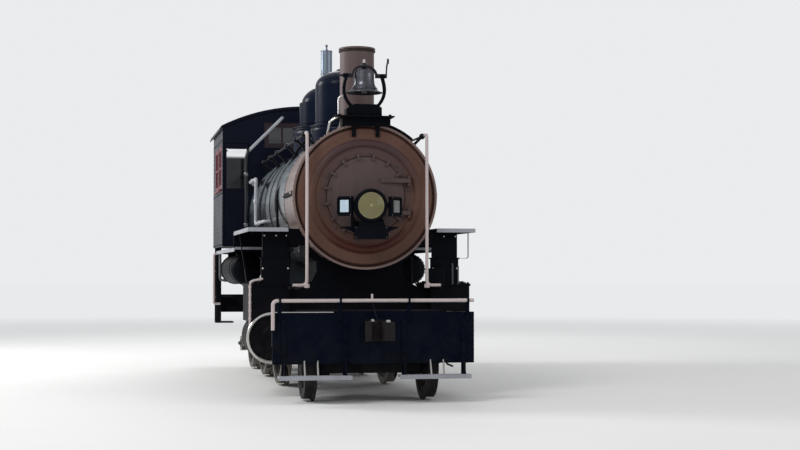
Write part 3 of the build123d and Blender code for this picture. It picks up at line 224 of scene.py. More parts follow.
def dress(slot, finish, *only):
    """Give a finish to every solid of a slot, or only to those named, and hand back finish and slot."""
    for row in frame["record"]["subparts"]:
        if row["material_slot"] == slot and (not only or row["node"] in only):
            solids[row["node"]].data.materials.clear()
            solids[row["node"]].data.materials.append(finish)
    return finish, slot


# Every place below is measured from here: x from the middle, y from the smokebox face backwards,
# and z from the foot of the wheels' treads.
origin = np.array([0.0, -3.484, 0.028])
forwards, backwards, upwards = (0, -1, 0), (0, 1, 0), (0, 0, 1)
both = (-1, 1)


def piece(name, forms, finish, slot, body="engine"):
    """One mesh of closed forms. A form is a grid of points, rows x columns x 3, or a stack of grids:
    each four neighbours on a grid are a face, doubles are merged and sharp edges kept sharp."""
    points, faces, total = [], [], 0
    for form in forms:
        form = form.reshape((-1,) + form.shape[-3:])
        number = total + np.arange(form[..., 0].size).reshape(form.shape[:3])
        corners = (number[:, :-1, :-1], number[:, 1:, :-1], number[:, 1:, 1:], number[:, :-1, 1:])
        faces.append(np.stack(corners, -1).reshape(-1, 4))
        points.append(form.reshape(-1, 3))
        total += number.size
    mesh = bpy.data.meshes.new(name)
    mesh.from_pydata((np.concatenate(points) + origin).tolist(), [], np.concatenate(faces).tolist())
    built = bmesh.new()
    built.from_mesh(mesh)
    bmesh.ops.remove_doubles(built, verts=built.verts, dist=1e-6)
    bmesh.ops.recalc_face_normals(built, faces=built.faces)
    for face in built.faces:
        face.smooth = True
    for edge in built.edges:
        edge.smooth = edge.calc_face_angle(3.0) < radians(35)
    built.to_mesh(mesh)
    built.free()
    mesh.materials.append(finish)
    made = bpy.data.objects.new(name, mesh)
    bpy.context.scene.collection.objects.link(made)
    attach(made, body)


def turned(profile, sides=24):
    """A profile of (radius, height) turned about z: x = r cos t, y = r sin t, z = height."""
    radius, height = np.array(profile, float).T[..., None]
    turn = np.linspace(0, 2 * pi, sides + 1)
    return np.stack(np.broadcast_arrays(radius * np.cos(turn), radius * np.sin(turn), height), -1)


def set_on(form, places, facing):
    """Copies of a form: its z axis turned to face each direction and its origin put on each place."""
    places = np.atleast_2d(np.array(places, float))
    out = np.broadcast_to(np.array(facing, float), places.shape)
    out = out / np.linalg.norm(out, axis=1, keepdims=True)
    side = np.cross(out, (0, 0, 1))
    flat = np.linalg.norm(side, axis=1, keepdims=True)
    side = np.where(flat > 1e-6, side / np.maximum(flat, 1e-6), (1, 0, 0))
    axes = np.stack([side, np.cross(out, side), out], 1)
    return np.einsum("rck,nkj->nrcj", form, axes) + places[:, None, None]


def nuts(radius, places, facing):
    """Six-sided nuts with their corners taken off, and the ends of their studs."""
    high = radius * 0.85
    form = turned([(0, -0.002), (radius, -0.002), (radius, high * 0.8), (radius * 0.86, high),
                   (radius * 0.5, high), (radius * 0.5, high * 1.3), (0, high * 1.35)], 6)
    return set_on(form, places, facing)


def rivets(radius, places, facing):
    """Low round heads."""
    form = turned([(0, -0.002), (radius, -0.002), (radius * 0.9, radius * 0.36),
                   (radius * 0.55, radius * 0.66), (0, radius * 0.76)], 8)
    return set_on(form, places, facing)


def outward(places):
    """The sideways directions away from the middle, one for each place."""
    return np.sign(places) * (1, 0, 0)


def both_sides(places):
    """The same places on the right and, mirrored in x, on the left."""
    places = np.atleast_2d(np.array(places, float))
    return np.concatenate([places, places * (-1, 1, 1)])


frame_black = dress("frame_black", paint("frame_black", (5, 7, 15), (13, 14, 20), 0.5, 0.3, 0.5,
                                         0.05, 1.2, 0.5))
driver_places = (2.55, 4.45, 6.35)
frame_face = 0.605
pedestals = np.array(driver_places)[:, None] + np.array([-0.19, 0.19])
frame_places = [(frame_face, y, z) for y in pedestals.ravel() for z in (0.5, 0.62, 0.86, 1.01)]
frame_places += [(frame_face, y, z) for y in (1.7, 3.45, 6.9) for z in (0.99, 1.04)]
frame_places = both_sides(frame_places)
piece("frame_bolts", [nuts(0.02, frame_places, outward(frame_places))], *frame_black)

# Wheels: cast-iron spoked centres in black, with steel tyres bare on the tread. A turned cap with
# six nuts closes the end of every axle, and rides round with it.
wheel_black = dress("wheel_black", paint("wheel_black", (8, 9, 14), (22, 21, 23), 0.5, 0.4, 0.4,
                                         0.15, 1.0, 0.6))


def metal(name, colour, stain, roughness, stained, brush=(60, 60, 1.5), metallic=1.0):
    """Bare metal: fine lines along it, and stains where broad noise rises."""
    material, shader, place = start(name)
    lines = place.stretched(*brush).noise(3.0, 3.0, 0.7)
    stains = place.noise(3.4, 6.0, 0.72).ramp(0.62 - stained * 0.3, 0.78)
    connect((stains * 0.85 + lines * 0.15).mix(shade(*colour), shade(*stain)), shader, "Base Color")
    connect(stains * 0.3 + lines * 0.2 + (roughness - 0.1), shader, "Roughness")
    connect((1 - stains * 0.6) * metallic, shader, "Metallic")
    emboss(lines * 0.3 + place.noise(26.0, 3.0) * 0.7, shader, 0.4, 0.0008)
    return material


dress("tyre_steel", metal("tyre_steel", (112, 106, 100), (48, 36, 30), 0.42, 0.9, (4, 60, 60), 0.8))
hub_face = 0.83
driver_radius, pony_radius, pony_place = 0.724, 0.38, -0.15


def circle_of(count, radius, phase=0.0):
    """Places round a circle in the x-y plane."""
    turn = np.linspace(0, 2 * pi, count, endpoint=False) + phase
    return np.stack([radius * np.cos(turn), radius * np.sin(turn), 0 * turn], -1)


def bolted_cap(radius, thick, count, bolt):
    """A turned cap, and nuts in a circle near its edge, as forms about the z axis."""
    cap = turned([(0, -0.002), (radius, -0.002), (radius, thick * 0.7), (radius - 0.003, thick),
                  (radius * 0.45, thick), (radius * 0.4, thick * 1.25), (0, thick * 1.25)], 28)
    ring = set_on(turned([(0, -0.002), (bolt, -0.002), (bolt, bolt * 0.35), (0, bolt * 0.4)], 6),
                  circle_of(count, radius * 0.76) + (0, 0, thick), upwards)
    return [cap] + list(ring)


axles = [(f"driver_axle_{number}", y, driver_radius) for number, y in enumerate(driver_places, 1)]
for wheelset, y, z in axles + [("pony_axle", pony_place, pony_radius)]:
    caps = [set_on(form, (side * hub_face, y, z), (side, 0, 0)) for side in both
            for form in bolted_cap(0.082, 0.006, 6, 0.011)]
    piece(wheelset + "_caps", caps, *wheel_black, wheelset)

# Rods, crossheads and guides: forged steel, bright under a film of oil. Each eye carries an oil
# cup, and the straps of the big ends are held by bolts with nuts above.
rod_steel = dress("rod_steel", metal("rod_steel", (108, 104, 100), (48, 38, 31), 0.36, 0.7,
                                     (60, 3, 60), 0.85))
cup = turned([(0, -0.004), (0.02, -0.004), (0.02, 0.008), (0.026, 0.012), (0.026, 0.036), (0.02, 0.042),
              (0.009, 0.046), (0.009, 0.054), (0, 0.055)], 14)
cylinder_x, cylinder_z, main_rod_length = 1.13, 0.73, 2.55
throw = 0.33 * np.cos(radians(45))
pin_z = driver_radius - throw
main_driver = driver_places[1]
for body, side, back in (("side_rod_left", -1, -throw), ("side_rod_right", 1, throw)):
    eyes = [(side * 0.883, y + back, pin_z + 0.133) for y in driver_places]
    piece(body + "_cups", [set_on(cup, eyes, upwards)], *rod_steel, body)
    big_end = np.array([side * cylinder_x, main_driver + back, pin_z])
    slope = np.arctan2(pin_z - cylinder_z, main_rod_length)
    along = np.array([0, np.cos(slope), np.sin(slope)])
    up = np.array([0, -np.sin(slope), np.cos(slope)])
    strap = [big_end + along * step + up * 0.105 for step in (-0.11, -0.05, 0.09)]
    forms = [nuts(0.022, strap, up), set_on(cup, big_end + up * 0.105, up)]
    forms.append(nuts(0.03, big_end + np.array([side * 0.055, 0, 0]), (side, 0, 0)))
    drop = cylinder_z - driver_radius + throw
    crosshead = main_driver + back - np.sqrt(main_rod_length ** 2 - drop ** 2)
    forms.append(nuts(0.024, (side * 1.215, crosshead, cylinder_z), (side, 0, 0)))
    guides = [(side * cylinder_x, y, 0.908) for y in (1.32, 2.39)]
    forms.append(nuts(0.018, guides, upwards))
    piece(body.replace("side", "main") + "_bolts", forms, *rod_steel)

# Cylinders and valve chests: iron castings in black. The front covers are held by twelve nuts, and
# their turned rims are rubbed bright. Small pipes and a lubricator box stand on the chests.
bright_steel = metal("bright_steel", (196, 194, 192), (120, 112, 106), 0.3, 0.35), "rod_steel"


def ring(radius, thick, sides=48, about=8):
    """A round-section ring: a small circle turned about the z axis."""
    turn = np.linspace(0, 2 * pi, about + 1)
    return turned(np.stack([radius + thick * np.cos(turn), thick * np.sin(turn)], -1), sides)


def swept(path, side, out, outline):
    """An outline of (across, outwards) carried along a path, p + across * side + outwards * out,
    and closed at both ends by drawing the last rows together."""
    path = np.array(path, float)
    side, out = (np.broadcast_to(np.array(way, float), path.shape)[:, None] for way in (side, out))
    outline = np.array(outline, float)
    rows = path[:, None] + outline[None, :, :1] * side + outline[None, :, 1:] * out
    ends = np.repeat(rows[[0, -1]].mean(1, keepdims=True), rows.shape[1], 1)
    return np.concatenate([ends[:1], rows, ends[1:]])


def flat_bar(path, side, out, width, height, edge=0.002):
    """A flat bar lying along a path on its back, its outer corners taken off."""
    half = width / 2
    return swept(path, side, out, [(-half, -0.002), (half, -0.002), (half, height - edge),
                                   (half - edge, height), (edge - half, height),
                                   (-half, height - edge), (-half, -0.002)])


def tube(path, radius, sides=10):
    """A round bar along a path: p + r (cos t * side + sin t * other side)."""
    path = np.array(path, float)
    along = np.gradient(path, axis=0)
    side = np.cross(along, (0.31, 0.43, 0.85))
    side /= np.linalg.norm(side, axis=1, keepdims=True)
    other = np.cross(along, side)
    other /= np.linalg.norm(other, axis=1, keepdims=True)
    turn = np.linspace(0, 2 * pi, sides + 1)
    return swept(path, side, other, radius * np.stack([np.cos(turn), np.sin(turn)], -1))


def bent(points, bend):
    """Straight runs whose corners are rounded: (1-t)(1-t) a + 2t(1-t) corner + tt b."""
    points = np.array(points, float)
    t = np.linspace(0, 1, 6)[:, None]
    runs = [points[:1]]
    for before, corner, after in zip(points, points[1:], points[2:]):
        a = corner + (before - corner) * bend / np.linalg.norm(before - corner)
        b = corner + (after - corner) * bend / np.linalg.norm(after - corner)
        runs.append((1 - t) ** 2 * a + 2 * t * (1 - t) * corner + t * t * b)
    return np.concatenate(runs + [points[-1:]])


def slab(width, depth, height, corner=0.012, edge=0.003):
    """A plate with rounded corners lying in x-y: its outline drawn in by the edge at top and bottom."""
    quarter = np.arange(4)[:, None] * pi / 2
    turn = (quarter + np.linspace(0, pi / 2, 4)).ravel()
    centre = np.stack([np.sign(np.cos(quarter + pi / 4)) * (width / 2 - corner),
                       np.sign(np.sin(quarter + pi / 4)) * (depth / 2 - corner)], -1)
    centre = np.repeat(centre[:, 0], 4, 0)
    around = np.stack([np.cos(turn), np.sin(turn)], -1)
    rows = []
    for inset, level in ((None, 0), (edge, 0), (0, edge), (0, height - edge), (edge, height),
                         (None, height)):
        outline = centre * 0 if inset is None else centre + around * (corner - inset)
        outline = np.concatenate([outline, outline[:1]])
        rows.append(np.column_stack([outline, np.full(len(outline), float(level))]))
    return np.stack(rows)


cylinder_front = 0.3
for side, word in ((-1, "left"), (1, "right")):
    middle = np.array([side * cylinder_x, cylinder_front, cylinder_z])
    cover_nuts = circle_of(12, 0.262, 0.26)[:, [0, 2, 1]] + middle
    forms = [nuts(0.021, cover_nuts, forwards),
             set_on(ring(0.136, 0.006, 40), middle - (0, 0.006, 0), forwards)]
    chest_nuts = [(side * x, y, 1.407) for x in (0.918, 1.403) for y in np.linspace(0.37, 1.19, 6)]
    chest_nuts += [(side * x, 0.342, 1.407) for x in (1.02, 1.16, 1.3)]
    forms.append(nuts(0.017, chest_nuts, upwards))
    piece(f"cylinder_nuts_{word}", forms, *frame_black)
    flange = [(0.285, 0), (0.322, 0), (0.328, 0.008), (0.32, 0.026), (0.3, 0.032), (0.288, 0.024),
              (0.285, 0)]
    rim = [set_on(turned(flange, 72), middle, forwards)]
    studs = [(side * 0.93, 0.326, 1.6), (side * 1.25, 0.326, 1.6), (side * 1.08, 0.336, 2.015),
             (side * 0.95, 0.336, 2.015), (side * 1.23, 0.336, 2.015)]
    rim.append(rivets(0.014, studs, forwards))
    piece(f"cylinder_rim_{word}", rim, *bright_steel)
    cocks = []
    x = side * cylinder_x
    for y in (0.4, 1.19):
        cocks.append(tube(bent([(x, y, 0.435), (x, y, 0.375), (side * 1.2, y - 0.06, 0.345)], 0.02), 0.013))
        cocks.append(nuts(0.022, (x, y, 0.414), (0, 0, -1)))
    cocks.append(tube([(x, 0.4, 0.392), (x, 1.19, 0.392)], 0.006, 6))
    piece(f"drain_cocks_{word}", cocks, *rod_steel)

pipe_x, pipe_y = -1.41, 0.322
jointed = bent([(pipe_x, pipe_y, 0.83), (pipe_x, pipe_y, 1.44), (-1.25, 0.33, 1.47)], 0.05)
sleeve = turned([(0, 0), (0.02, 0), (0.02, 0.022), (0, 0.022)], 12)
sleeves = [set_on(sleeve, [(pipe_x, pipe_y, z)], upwards) for z in (0.86, 0.96, 1.06, 1.16, 1.26, 1.36)]
cream = dress("cream_paint", paint("cream_paint", (196, 182, 182), (172, 158, 158), 0.38, 0.3, 0.7))
piece("jointed_pipe", [tube(jointed, 0.015)] + sleeves, *cream)
chest_pipes = [tube(bent([(x, pipe_y, 1.4), (x, pipe_y, high), (x, 0.345, high + 0.02)], 0.012), 0.011)
               for x, high in ((1.19, 1.65), (1.265, 1.62))]
grey_iron = paint("grey_iron", (74, 78, 84), (98, 100, 104), 0.45, 0.4, 0.5), "whistle_grey"
piece("chest_pipes", chest_pipes, *grey_iron)
box_x, box_y = 0.945, 0.2625
box_form = slab(0.23, 0.145, 0.23, 0.02, 0.006) + (box_x, box_y, 1.37)
lid = slab(0.24, 0.155, 0.018, 0.02, 0.004) + (box_x, box_y, 1.585)
piece("lubricator_box", [box_form, lid, nuts(0.016, (box_x, box_y, 1.603), upwards)], *frame_black)
piece("chest_strip", [slab(0.21, 0.02, 0.026, 0.006, 0.002) + (1.215, 0.382, 1.406)], *cream)

# Front beam, deck, footboards and coupler: an oak beam in iron plate, riveted along its edges,
# with a worn bright nosing, pale footboards on strap hangers and a cast knuckle coupler.
beam_black = dress("frame_black", paint("beam_black", (2, 7, 21), (6, 13, 29), 0.42, 0.15, 0.4,
                                        0.03, 0.6, 0.2), "front_beam", "beam_brackets")
board_cream = dress("cream_paint", paint("board_cream", (158, 160, 168), (134, 136, 144), 0.4,
                                         0.3, 0.7), "board_edges", "footboards")
dress("coupler_iron", paint("coupler_iron", (15, 13, 15), (28, 23, 22), 0.55, 0.2, 0.5, 0.15, 2.0, 0.6))
beam_face = -0.64
beam_pitches = np.arange(-1.2, 1.21, 0.1)
clear = [x for x in beam_pitches if abs(abs(x) - 1.15) > 0.04 and abs(abs(x) - 0.42) > 0.04]
edge_rivets = [(x, beam_face, z) for x in clear for z in (0.705, 1.035) if not (abs(x) < 0.14 and z < 1.0)]
edge_rivets += [(x, beam_face, 0.48) for x in beam_pitches]
edge_rivets += [(side * 1.2, beam_face, z) for side in both for z in (0.56, 0.62, 0.8, 0.9)]
end_rivets = [(side * 1.235, y, z) for side in both for y in (-0.61, -0.57)
              for z in (0.72, 0.84, 0.96, 1.03)]
rows = [rivets(0.013, edge_rivets, forwards), rivets(0.012, end_rivets, outward(end_rivets))]
piece("beam_rivets", rows, *beam_black)
coupler_bolts = [(x, -0.67, z) for x in (-0.1, 0.1) for z in (0.74, 0.96)]
hanger_bolts = [(side * x, -0.656, z) for side in both for x in (0.36, 1.1) for z in (0.56, 0.72, 0.9)]
bracket_bolts = [(side * x, -0.652, z) for side in both for x in (0.42, 1.15) for z in (0.985, 1.05)]
nose = flat_bar([(-1.225, -0.634, 1.069), (-0.5, -0.634, 1.069)], forwards, upwards, 0.02, 0.008)
piece("beam_nosing", [nose], *bright_steel)
beam_bolts = coupler_bolts + hanger_bolts + bracket_bolts
piece("beam_bolts", [nuts(0.017, beam_bolts, forwards)], *beam_black)
pin = turned([(0, -0.01), (0.03, -0.01), (0.03, 0.02), (0.022, 0.028), (0, 0.03)], 16)
lifter = bent([(-0.035, -0.674, 1.19), (-0.035, -0.74, 1.16), (-0.02, -0.9, 1.0), (0.02, -0.93, 0.96)],
              0.05)
piece("coupler_pin", [set_on(pin, (0.1, -1.0, 0.958), upwards),
                      nuts(0.025, (-0.06, -0.86, 0.965), upwards)], *bright_steel)
piece("coupler_lifter", [tube(lifter, 0.008)], *beam_black)
struts = [tube([(x, -0.632, 0.49), (x, -0.7, 0.308)], 0.012, 8) for x in (0.69, 0.85, -0.69, -0.85)]
piece("board_struts", struts, *bright_steel)


def lozenges(x0, x1, y0, y1, z, pitch=0.07):
    """Raised diamonds on a tread plate, each row turned the other way from the last."""
    x, y = np.meshgrid(np.arange(x0 + pitch / 2, x1 - pitch / 4, pitch),
                       np.arange(y0 + pitch / 2, y1 - pitch / 4, pitch))
    places = np.column_stack([x.ravel(), y.ravel(), np.full(x.size, z)])
    turn = ((np.arange(x.shape[1])[None] + np.arange(x.shape[0])[:, None]) % 2).ravel()
    diamond = turned([(0, -0.001), (pitch * 0.34, -0.001), (pitch * 0.24, 0.0022), (0, 0.0025)], 4)
    narrow = diamond * (1, 0.34, 1)
    spin = np.array([[0.707, 0.707, 0], [-0.707, 0.707, 0], [0, 0, 1]])
    return [set_on(narrow @ way, places[turn == number], upwards)
            for number, way in enumerate((spin, spin.T))]


piece("deck_tread", lozenges(-0.88, 0.88, -0.62, 0.08, 1.082), *frame_black)
foot_tread = [form for x0, x1 in ((-1.16, -0.3), (0.3, 1.16))
              for form in lozenges(x0, x1, -0.76, -0.62, 0.315, 0.05)]
piece("footboard_tread", foot_tread, *board_cream)

# Smokebox: rolled plate with a flanged front, riveted at both ends, in sun-faded brown-red oxide.
# Clamps with studs hold the door, and a black bar with two bolts runs along each side.
front_red = dress("terracotta_paint", paint("terracotta_paint", (100, 78, 72), (120, 99, 94),
                                            0.42, 0.3, 0.5, 0.6, coat=0.35))
boiler_z = 2.5


def ringed_front():
    """The front plate's paint: terracotta outside, a ridge painted darker as painted shade, purple
    above and red below as painted reflections of sky and ground, and a grey-purple ring inside it
    with the same painted reflections, greyer above and redder below, all by distance from the
    boiler's middle. A band of painted shade runs along the plate's rounded edge."""
    material, shader, place = start("front_plate_paint")
    across, up = place.part(0), place.part(2) - float(boiler_z + origin[2])
    radius = across.math("SQRT", across * across + up * up) + (place.noise(9.0, 3.0) - 0.5) * 0.012
    patches = place.noise(2.4, 5.0, 0.65).ramp(0.32, 0.7)
    runs = place.stretched(10, 10, 0.8).noise(1.0, 3.0, 0.6).ramp(0.45, 0.8)
    outer = (patches * 0.6 + runs * 0.25).mix(shade(84, 58, 49), shade(98, 71, 60))
    # Painted shade and reflection: the ridge darkens to purple above and to dark red below.
    painted_ridge_shade = up.ramp(-0.15, -0.6).mix(outer, shade(70, 36, 30))
    painted_ridge_shade = up.ramp(0.1, 0.55).mix(painted_ridge_shade, shade(68, 50, 50))
    # Painted reflection: the inner ring is greyer above and redder below.
    inner_with_painted_reflection = up.ramp(-0.4, 0.4).mix(shade(78, 54, 46), shade(72, 56, 54))
    inner_with_painted_reflection = (patches * 0.5 + runs * 0.3).mix(inner_with_painted_reflection, shade(84, 66, 62))
    base = (radius.ramp(0.585, 0.605)).mix(inner_with_painted_reflection, painted_ridge_shade)
    base = (radius.ramp(0.715, 0.735)).mix(base, outer)
    # Painted shade: a dark band along the plate's rounded edge, where it turns back into the shell.
    edge = radius.ramp(0.842, 0.852) * (1 - radius.ramp(0.868, 0.876))
    base = (edge * 0.6).mix(base, shade(44, 26, 24))
    connect(base, shader, "Base Color")
    connect(patches * 0.12 + runs * 0.08 + 0.4, shader, "Roughness")
    height = place.noise(150.0, 2.0) * 0.25 + place.noise(2.4, 2.0) * 3.0
    emboss(height, shader, 0.5, 0.0012)
    hold(shader, Specular_IOR_Level=0.2)
    return material


plate_red = dress("terracotta_paint", ringed_front(), "smokebox_front")
door_paint = dress("terracotta_paint", paint("door_paint", (74, 61, 60), (86, 73, 71), 0.5, 0.3,
                                             0.7, 0.2), "smokebox_door")


def round_boiler(radius, y, angles):
    """Places on the round of the boiler at one station, and the directions out from its middle."""
    turn = np.radians(angles)
    out = np.stack([np.cos(turn), 0 * turn, np.sin(turn)], -1)
    return out * radius + (0, y, boiler_z), out


upper = np.arange(-48, 229, 4.0)
hoops = [rivets(0.011, *round_boiler(radius, y, upper)) for radius, y in ((0.915, 0.036), (0.9, 0.985))]
plate_rivets = circle_of(48, 0.79)[:, [0, 2, 1]] + (0, 0, boiler_z)
piece("smokebox_rivets", hoops, *front_red)
piece("plate_rivets", [rivets(0.009, plate_rivets, forwards)], *plate_red)
lug_bars, lug_bolts = [], []
for side in both:
    run = [(side * 0.899, y, 2.54) for y in (0.08, 0.93)]
    lug_bars.append(flat_bar(run, upwards, (side, 0, 0), 0.055, 0.024, 0.004))
    lug_bolts += [(side * 0.923, y, 2.54) for y in (0.12, 0.89)]
piece("lug_bars", lug_bars, *frame_black)
piece("lug_bolts", [nuts(0.02, lug_bolts, outward(lug_bolts))], *bright_steel)
clamp_studs = circle_of(10, 0.545, 0.16)[:, [0, 2, 1]] + (0, 0, boiler_z)
piece("clamp_nuts", [nuts(0.018, clamp_studs, forwards)], *door_paint)
strap_rivets = [(x, -0.0385, z) for x in (0.3, 0.38, 0.46) for z in (2.7, 2.296)]
piece("door_rivets", [rivets(0.012, strap_rivets, forwards),
                      set_on(bolted_cap(0.05, 0.016, 6, 0.006)[0], (0, -0.056, boiler_z), forwards)],
      *door_paint, "smokebox_door")

# Headlight, number lamps and the blank plate: sheet-steel cases on a cast shelf, all on the door.
# A hinged bezel holds the yellowed lens, and the small lamps have plain glass with no figures.
def lens():
    """Yellowed lamp glass with pressed rings about its middle, and painted highlights at its middle and
    round its rim.
    """
    material, shader, place = start("lens_yellow")
    across = place.part(0)
    up = place.part(2) - float(lamp_centre[2] + origin[2])
    radius = across.math("SQRT", across * across + up * up)
    rings = radius.math("SINE", radius * 560.0) * 0.5 + 0.5
    # Painted highlights: a pale spot at the middle and a pale band near the rim.
    middle = radius.ramp(0.022, 0.008)
    rim = radius.ramp(0.14, 0.172)
    base = (rings * 0.25 + place.noise(14.0, 3.0) * 0.25).mix(shade(112, 106, 66), shade(90, 84, 48))
    base = (middle + rim * 0.5).mix(base, shade(150, 146, 108))
    connect(base, shader, "Base Color")
    emboss(rings, shader, 0.5, 0.0015)
    hold(shader, Roughness=0.14, Coat_Weight=0.4)
    return material


lamp_centre = np.array([0, -0.42, 2.37])
dress("lens_yellow", lens())
bezel = [set_on(ring(0.183, 0.011, 64), lamp_centre, forwards),
         set_on(ring(0.2, 0.007, 64), lamp_centre + (0, 0.012, 0), forwards),
         rivets(0.008, circle_of(8, 0.183, 0.4)[:, [0, 2, 1]] + lamp_centre - (0, 0.009, 0), forwards),
         slab(0.03, 0.05, 0.07, 0.008, 0.003) + (0.203, -0.395, 2.335),
         tube([(-0.205, -0.405, 2.33), (-0.205, -0.405, 2.41)], 0.009, 8)]
piece("lamp_bezel", bezel, *frame_black, "smokebox_door")


def lamp_glass(name, colour, streak):
    """A pale pane with the painted glimmer of a reflector behind it, and upright wiping marks."""
    material, shader, place = start(name)
    # Painted glimmer: noise moves the pane's colour toward its second colour.
    marks = place.stretched(60, 60, 4).noise(1.0, 2.0).ramp(0.4, 0.65)
    base = (marks * 0.6 + place.noise(12.0, 3.0) * 0.3).mix(colour, streak)
    connect(base, shader, "Base Color")
    connect(marks * 0.15 + 0.1, shader, "Roughness")
    hold(shader, Coat_Weight=0.5)
    return material


panes = {-1: ("left_pane", lamp_glass("pale_blue_glass", shade(176, 198, 214), shade(196, 212, 222))),
         1: ("right_pane", lamp_glass("grey_glass", shade(112, 112, 112), shade(58, 58, 60)))}
for side, (name, glass) in panes.items():
    turn = radians(side * 42)
    out = np.array([np.sin(turn), -np.cos(turn), 0])
    case = np.array([side * 0.312, -0.35, 2.36])
    pane = slab(0.125, 0.15, 0.006, 0.006, 0.002)
    piece(name, [set_on(pane, case + out * 0.0175, out)], glass, "window_glass", "smokebox_door")
    across = np.array([np.cos(turn), np.sin(turn), 0])
    screws = [case + out * 0.028 + across * dx + np.array([0, 0, dz])
              for dx in (-0.095, 0.095) for dz in (-0.108, 0.108)]
    piece(name + "_screws", [rivets(0.007, screws, out)], *rod_steel, "smokebox_door")
plate_screws = [(x, -0.43, z) for x in (-0.19, 0.19) for z in (1.975, 2.095)]
piece("blank_plate_screws", [rivets(0.007, plate_screws, forwards)], *rod_steel, "smokebox_door")

# Boiler and firebox: a sheet jacket over lagging, black below and with a painted pale sheen where it
# looks up, a painted reflection of the sky. Black bands hold it, drawn up by small clamps. Washout
# plugs show through it, and sand pipes run down in front of the wheels.
# Painted sheen: faces that look up take a pale colour that stands in for the sky's reflection on the black
# jacket.
painted_sky_sheen = (lambda place, facing: facing.ramp(-0.04, 0.14), shade(122, 132, 140))
dress("boiler_black", paint("boiler_black", (14, 17, 22), (30, 36, 42), 0.24, 0.2, 0.4, 0.5,
                            coat=0.8, painted_light=painted_sky_sheen))
band_black = paint("band_black", (3, 5, 11), (8, 10, 16), 0.5, 0.05, 0.3, 0.05), "boiler_black"
bands = (1.03, 2.12, 2.85, 3.48, 4.085)
seams = np.arange(-46, 227, 7.0)
jacket = [rivets(0.007, *round_boiler(0.8985, y + dy, seams)) for y in bands for dy in (0.012, 0.053)]
jacket.append(rivets(0.010, *round_boiler(0.896, 1.062, np.arange(12, 169, 6.0))))
for y in bands:
    for angle in (-38, 218):
        place, out = round_boiler(0.896, y + 0.0325, [angle])
        jacket.append(set_on(slab(0.03, 0.055, 0.022, 0.006, 0.002), place, out))
piece("jacket_screws", jacket, *band_black)
hoop = turned([(0.893, 0), (0.8985, 0), (0.8985, 0.061), (0.893, 0.061), (0.893, 0)], 96)
piece("jacket_bands", [set_on(hoop, (0, y + 0.002, boiler_z), backwards) for y in bands], *band_black)
barrel_back, wrapper_radius, wrapper_z = 4.15, 0.93, 2.47
plug = turned([(0, -0.01), (0.058, -0.01), (0.058, 0.01), (0.05, 0.016), (0, 0.016)], 24)
plug_square = turned([(0, 0.014), (0.024, 0.014), (0.024, 0.04), (0.02, 0.044), (0, 0.044)], 4)
plugs = []
for y, angle in ((3.69, 22.5), (3.69, 157.5), (4.6, 30), (4.6, 150), (5.2, 30), (5.2, 150), (2.4, 205),
                 (2.4, -25)):
    place, out = round_boiler(0.89, y, [angle])
    if y > barrel_back:
        place = out * wrapper_radius + (0, y, wrapper_z)
    plugs += [set_on(plug, place, out), set_on(plug_square, place, out)]
piece("washout_plugs", plugs, *frame_black)
sand_pipes = []
joint = turned([(0, -0.014), (0.03, -0.014), (0.03, 0.014), (0, 0.014)], 6)
for side in both:
    route = [(side * 0.41, 1.95, 3.47), (side * 0.62, 1.93, 3.215), (side * 0.9, 1.88, 2.62),
             (side * 0.915, 1.66, 2.1), (side * 0.905, 1.6, 1.2), (side * 0.9, 1.6, 0.5),
             (side * 0.76, 1.82, 0.22), (side * 0.75, 1.93, 0.12)]
    sand_pipes.append(tube(bent(route, 0.09), 0.019))
    sand_pipes += [set_on(joint, (side * 0.908, 1.62, 1.5), (0, 0.03, 1)),
                   set_on(joint, (side * 0.9, 1.6, 0.75), upwards)]
piece("sand_pipes", sand_pipes, *frame_black)

# Stack, domes and whistle: a rolled stack with a turned lip in the front's red, pressed dome
# casings with a bead round each skirt, and a chime whistle worked by a rod from the cab.
stack_red = dress("stack_paint", paint("stack_paint", (84, 67, 67), (98, 83, 83), 0.5, 0.3, 0.6, 0.25))
soot = paint("sooty_rim", (30, 24, 25), (58, 44, 43), 0.6, 0.2, 0.5, 0.2), "stack_paint"
stack_y, sand_y, steam_y = 0.66, 1.95, 3.7
stack_rivets = rivets(0.010, circle_of(20, 0.222) + (0, stack_y, 3.6), circle_of(20, 1.0))
piece("stack_rivets", [stack_rivets], *stack_red)
piece("stack_lip", [ring(0.2265, 0.013, 56) + (0, stack_y, 4.412),
                    ring(0.204, 0.012, 56) + (0, stack_y, 4.448)], *soot)
dome_black = dress("boiler_black", paint("dome_black", (3, 11, 29), (8, 21, 43), 0.32, 0.1, 0.4,
                                         0.05, coat=0.06), "sand_dome", "steam_dome")
beads = [ring(radius, thick, 64) + (0, y, z)
         for radius, thick, y, z in ((0.424, 0.012, sand_y, 3.555), (0.364, 0.01, sand_y, 3.62),
                                     (0.448, 0.013, steam_y, 3.694), (0.341, 0.013, steam_y, 4.07),
                                     (0.361, 0.01, steam_y, 3.76))]
lid = turned([(0, -0.02), (0.075, -0.02), (0.075, 0.008), (0.06, 0.02), (0.018, 0.024), (0.018, 0.05),
              (0, 0.056)], 24)
beads.append(lid + (0, sand_y, 4.336))
piece("dome_beads", beads, *dome_black)
whistle_grey = dress("whistle_grey", metal("whistle_grey", (114, 124, 136), (74, 84, 94), 0.36, 0.5))
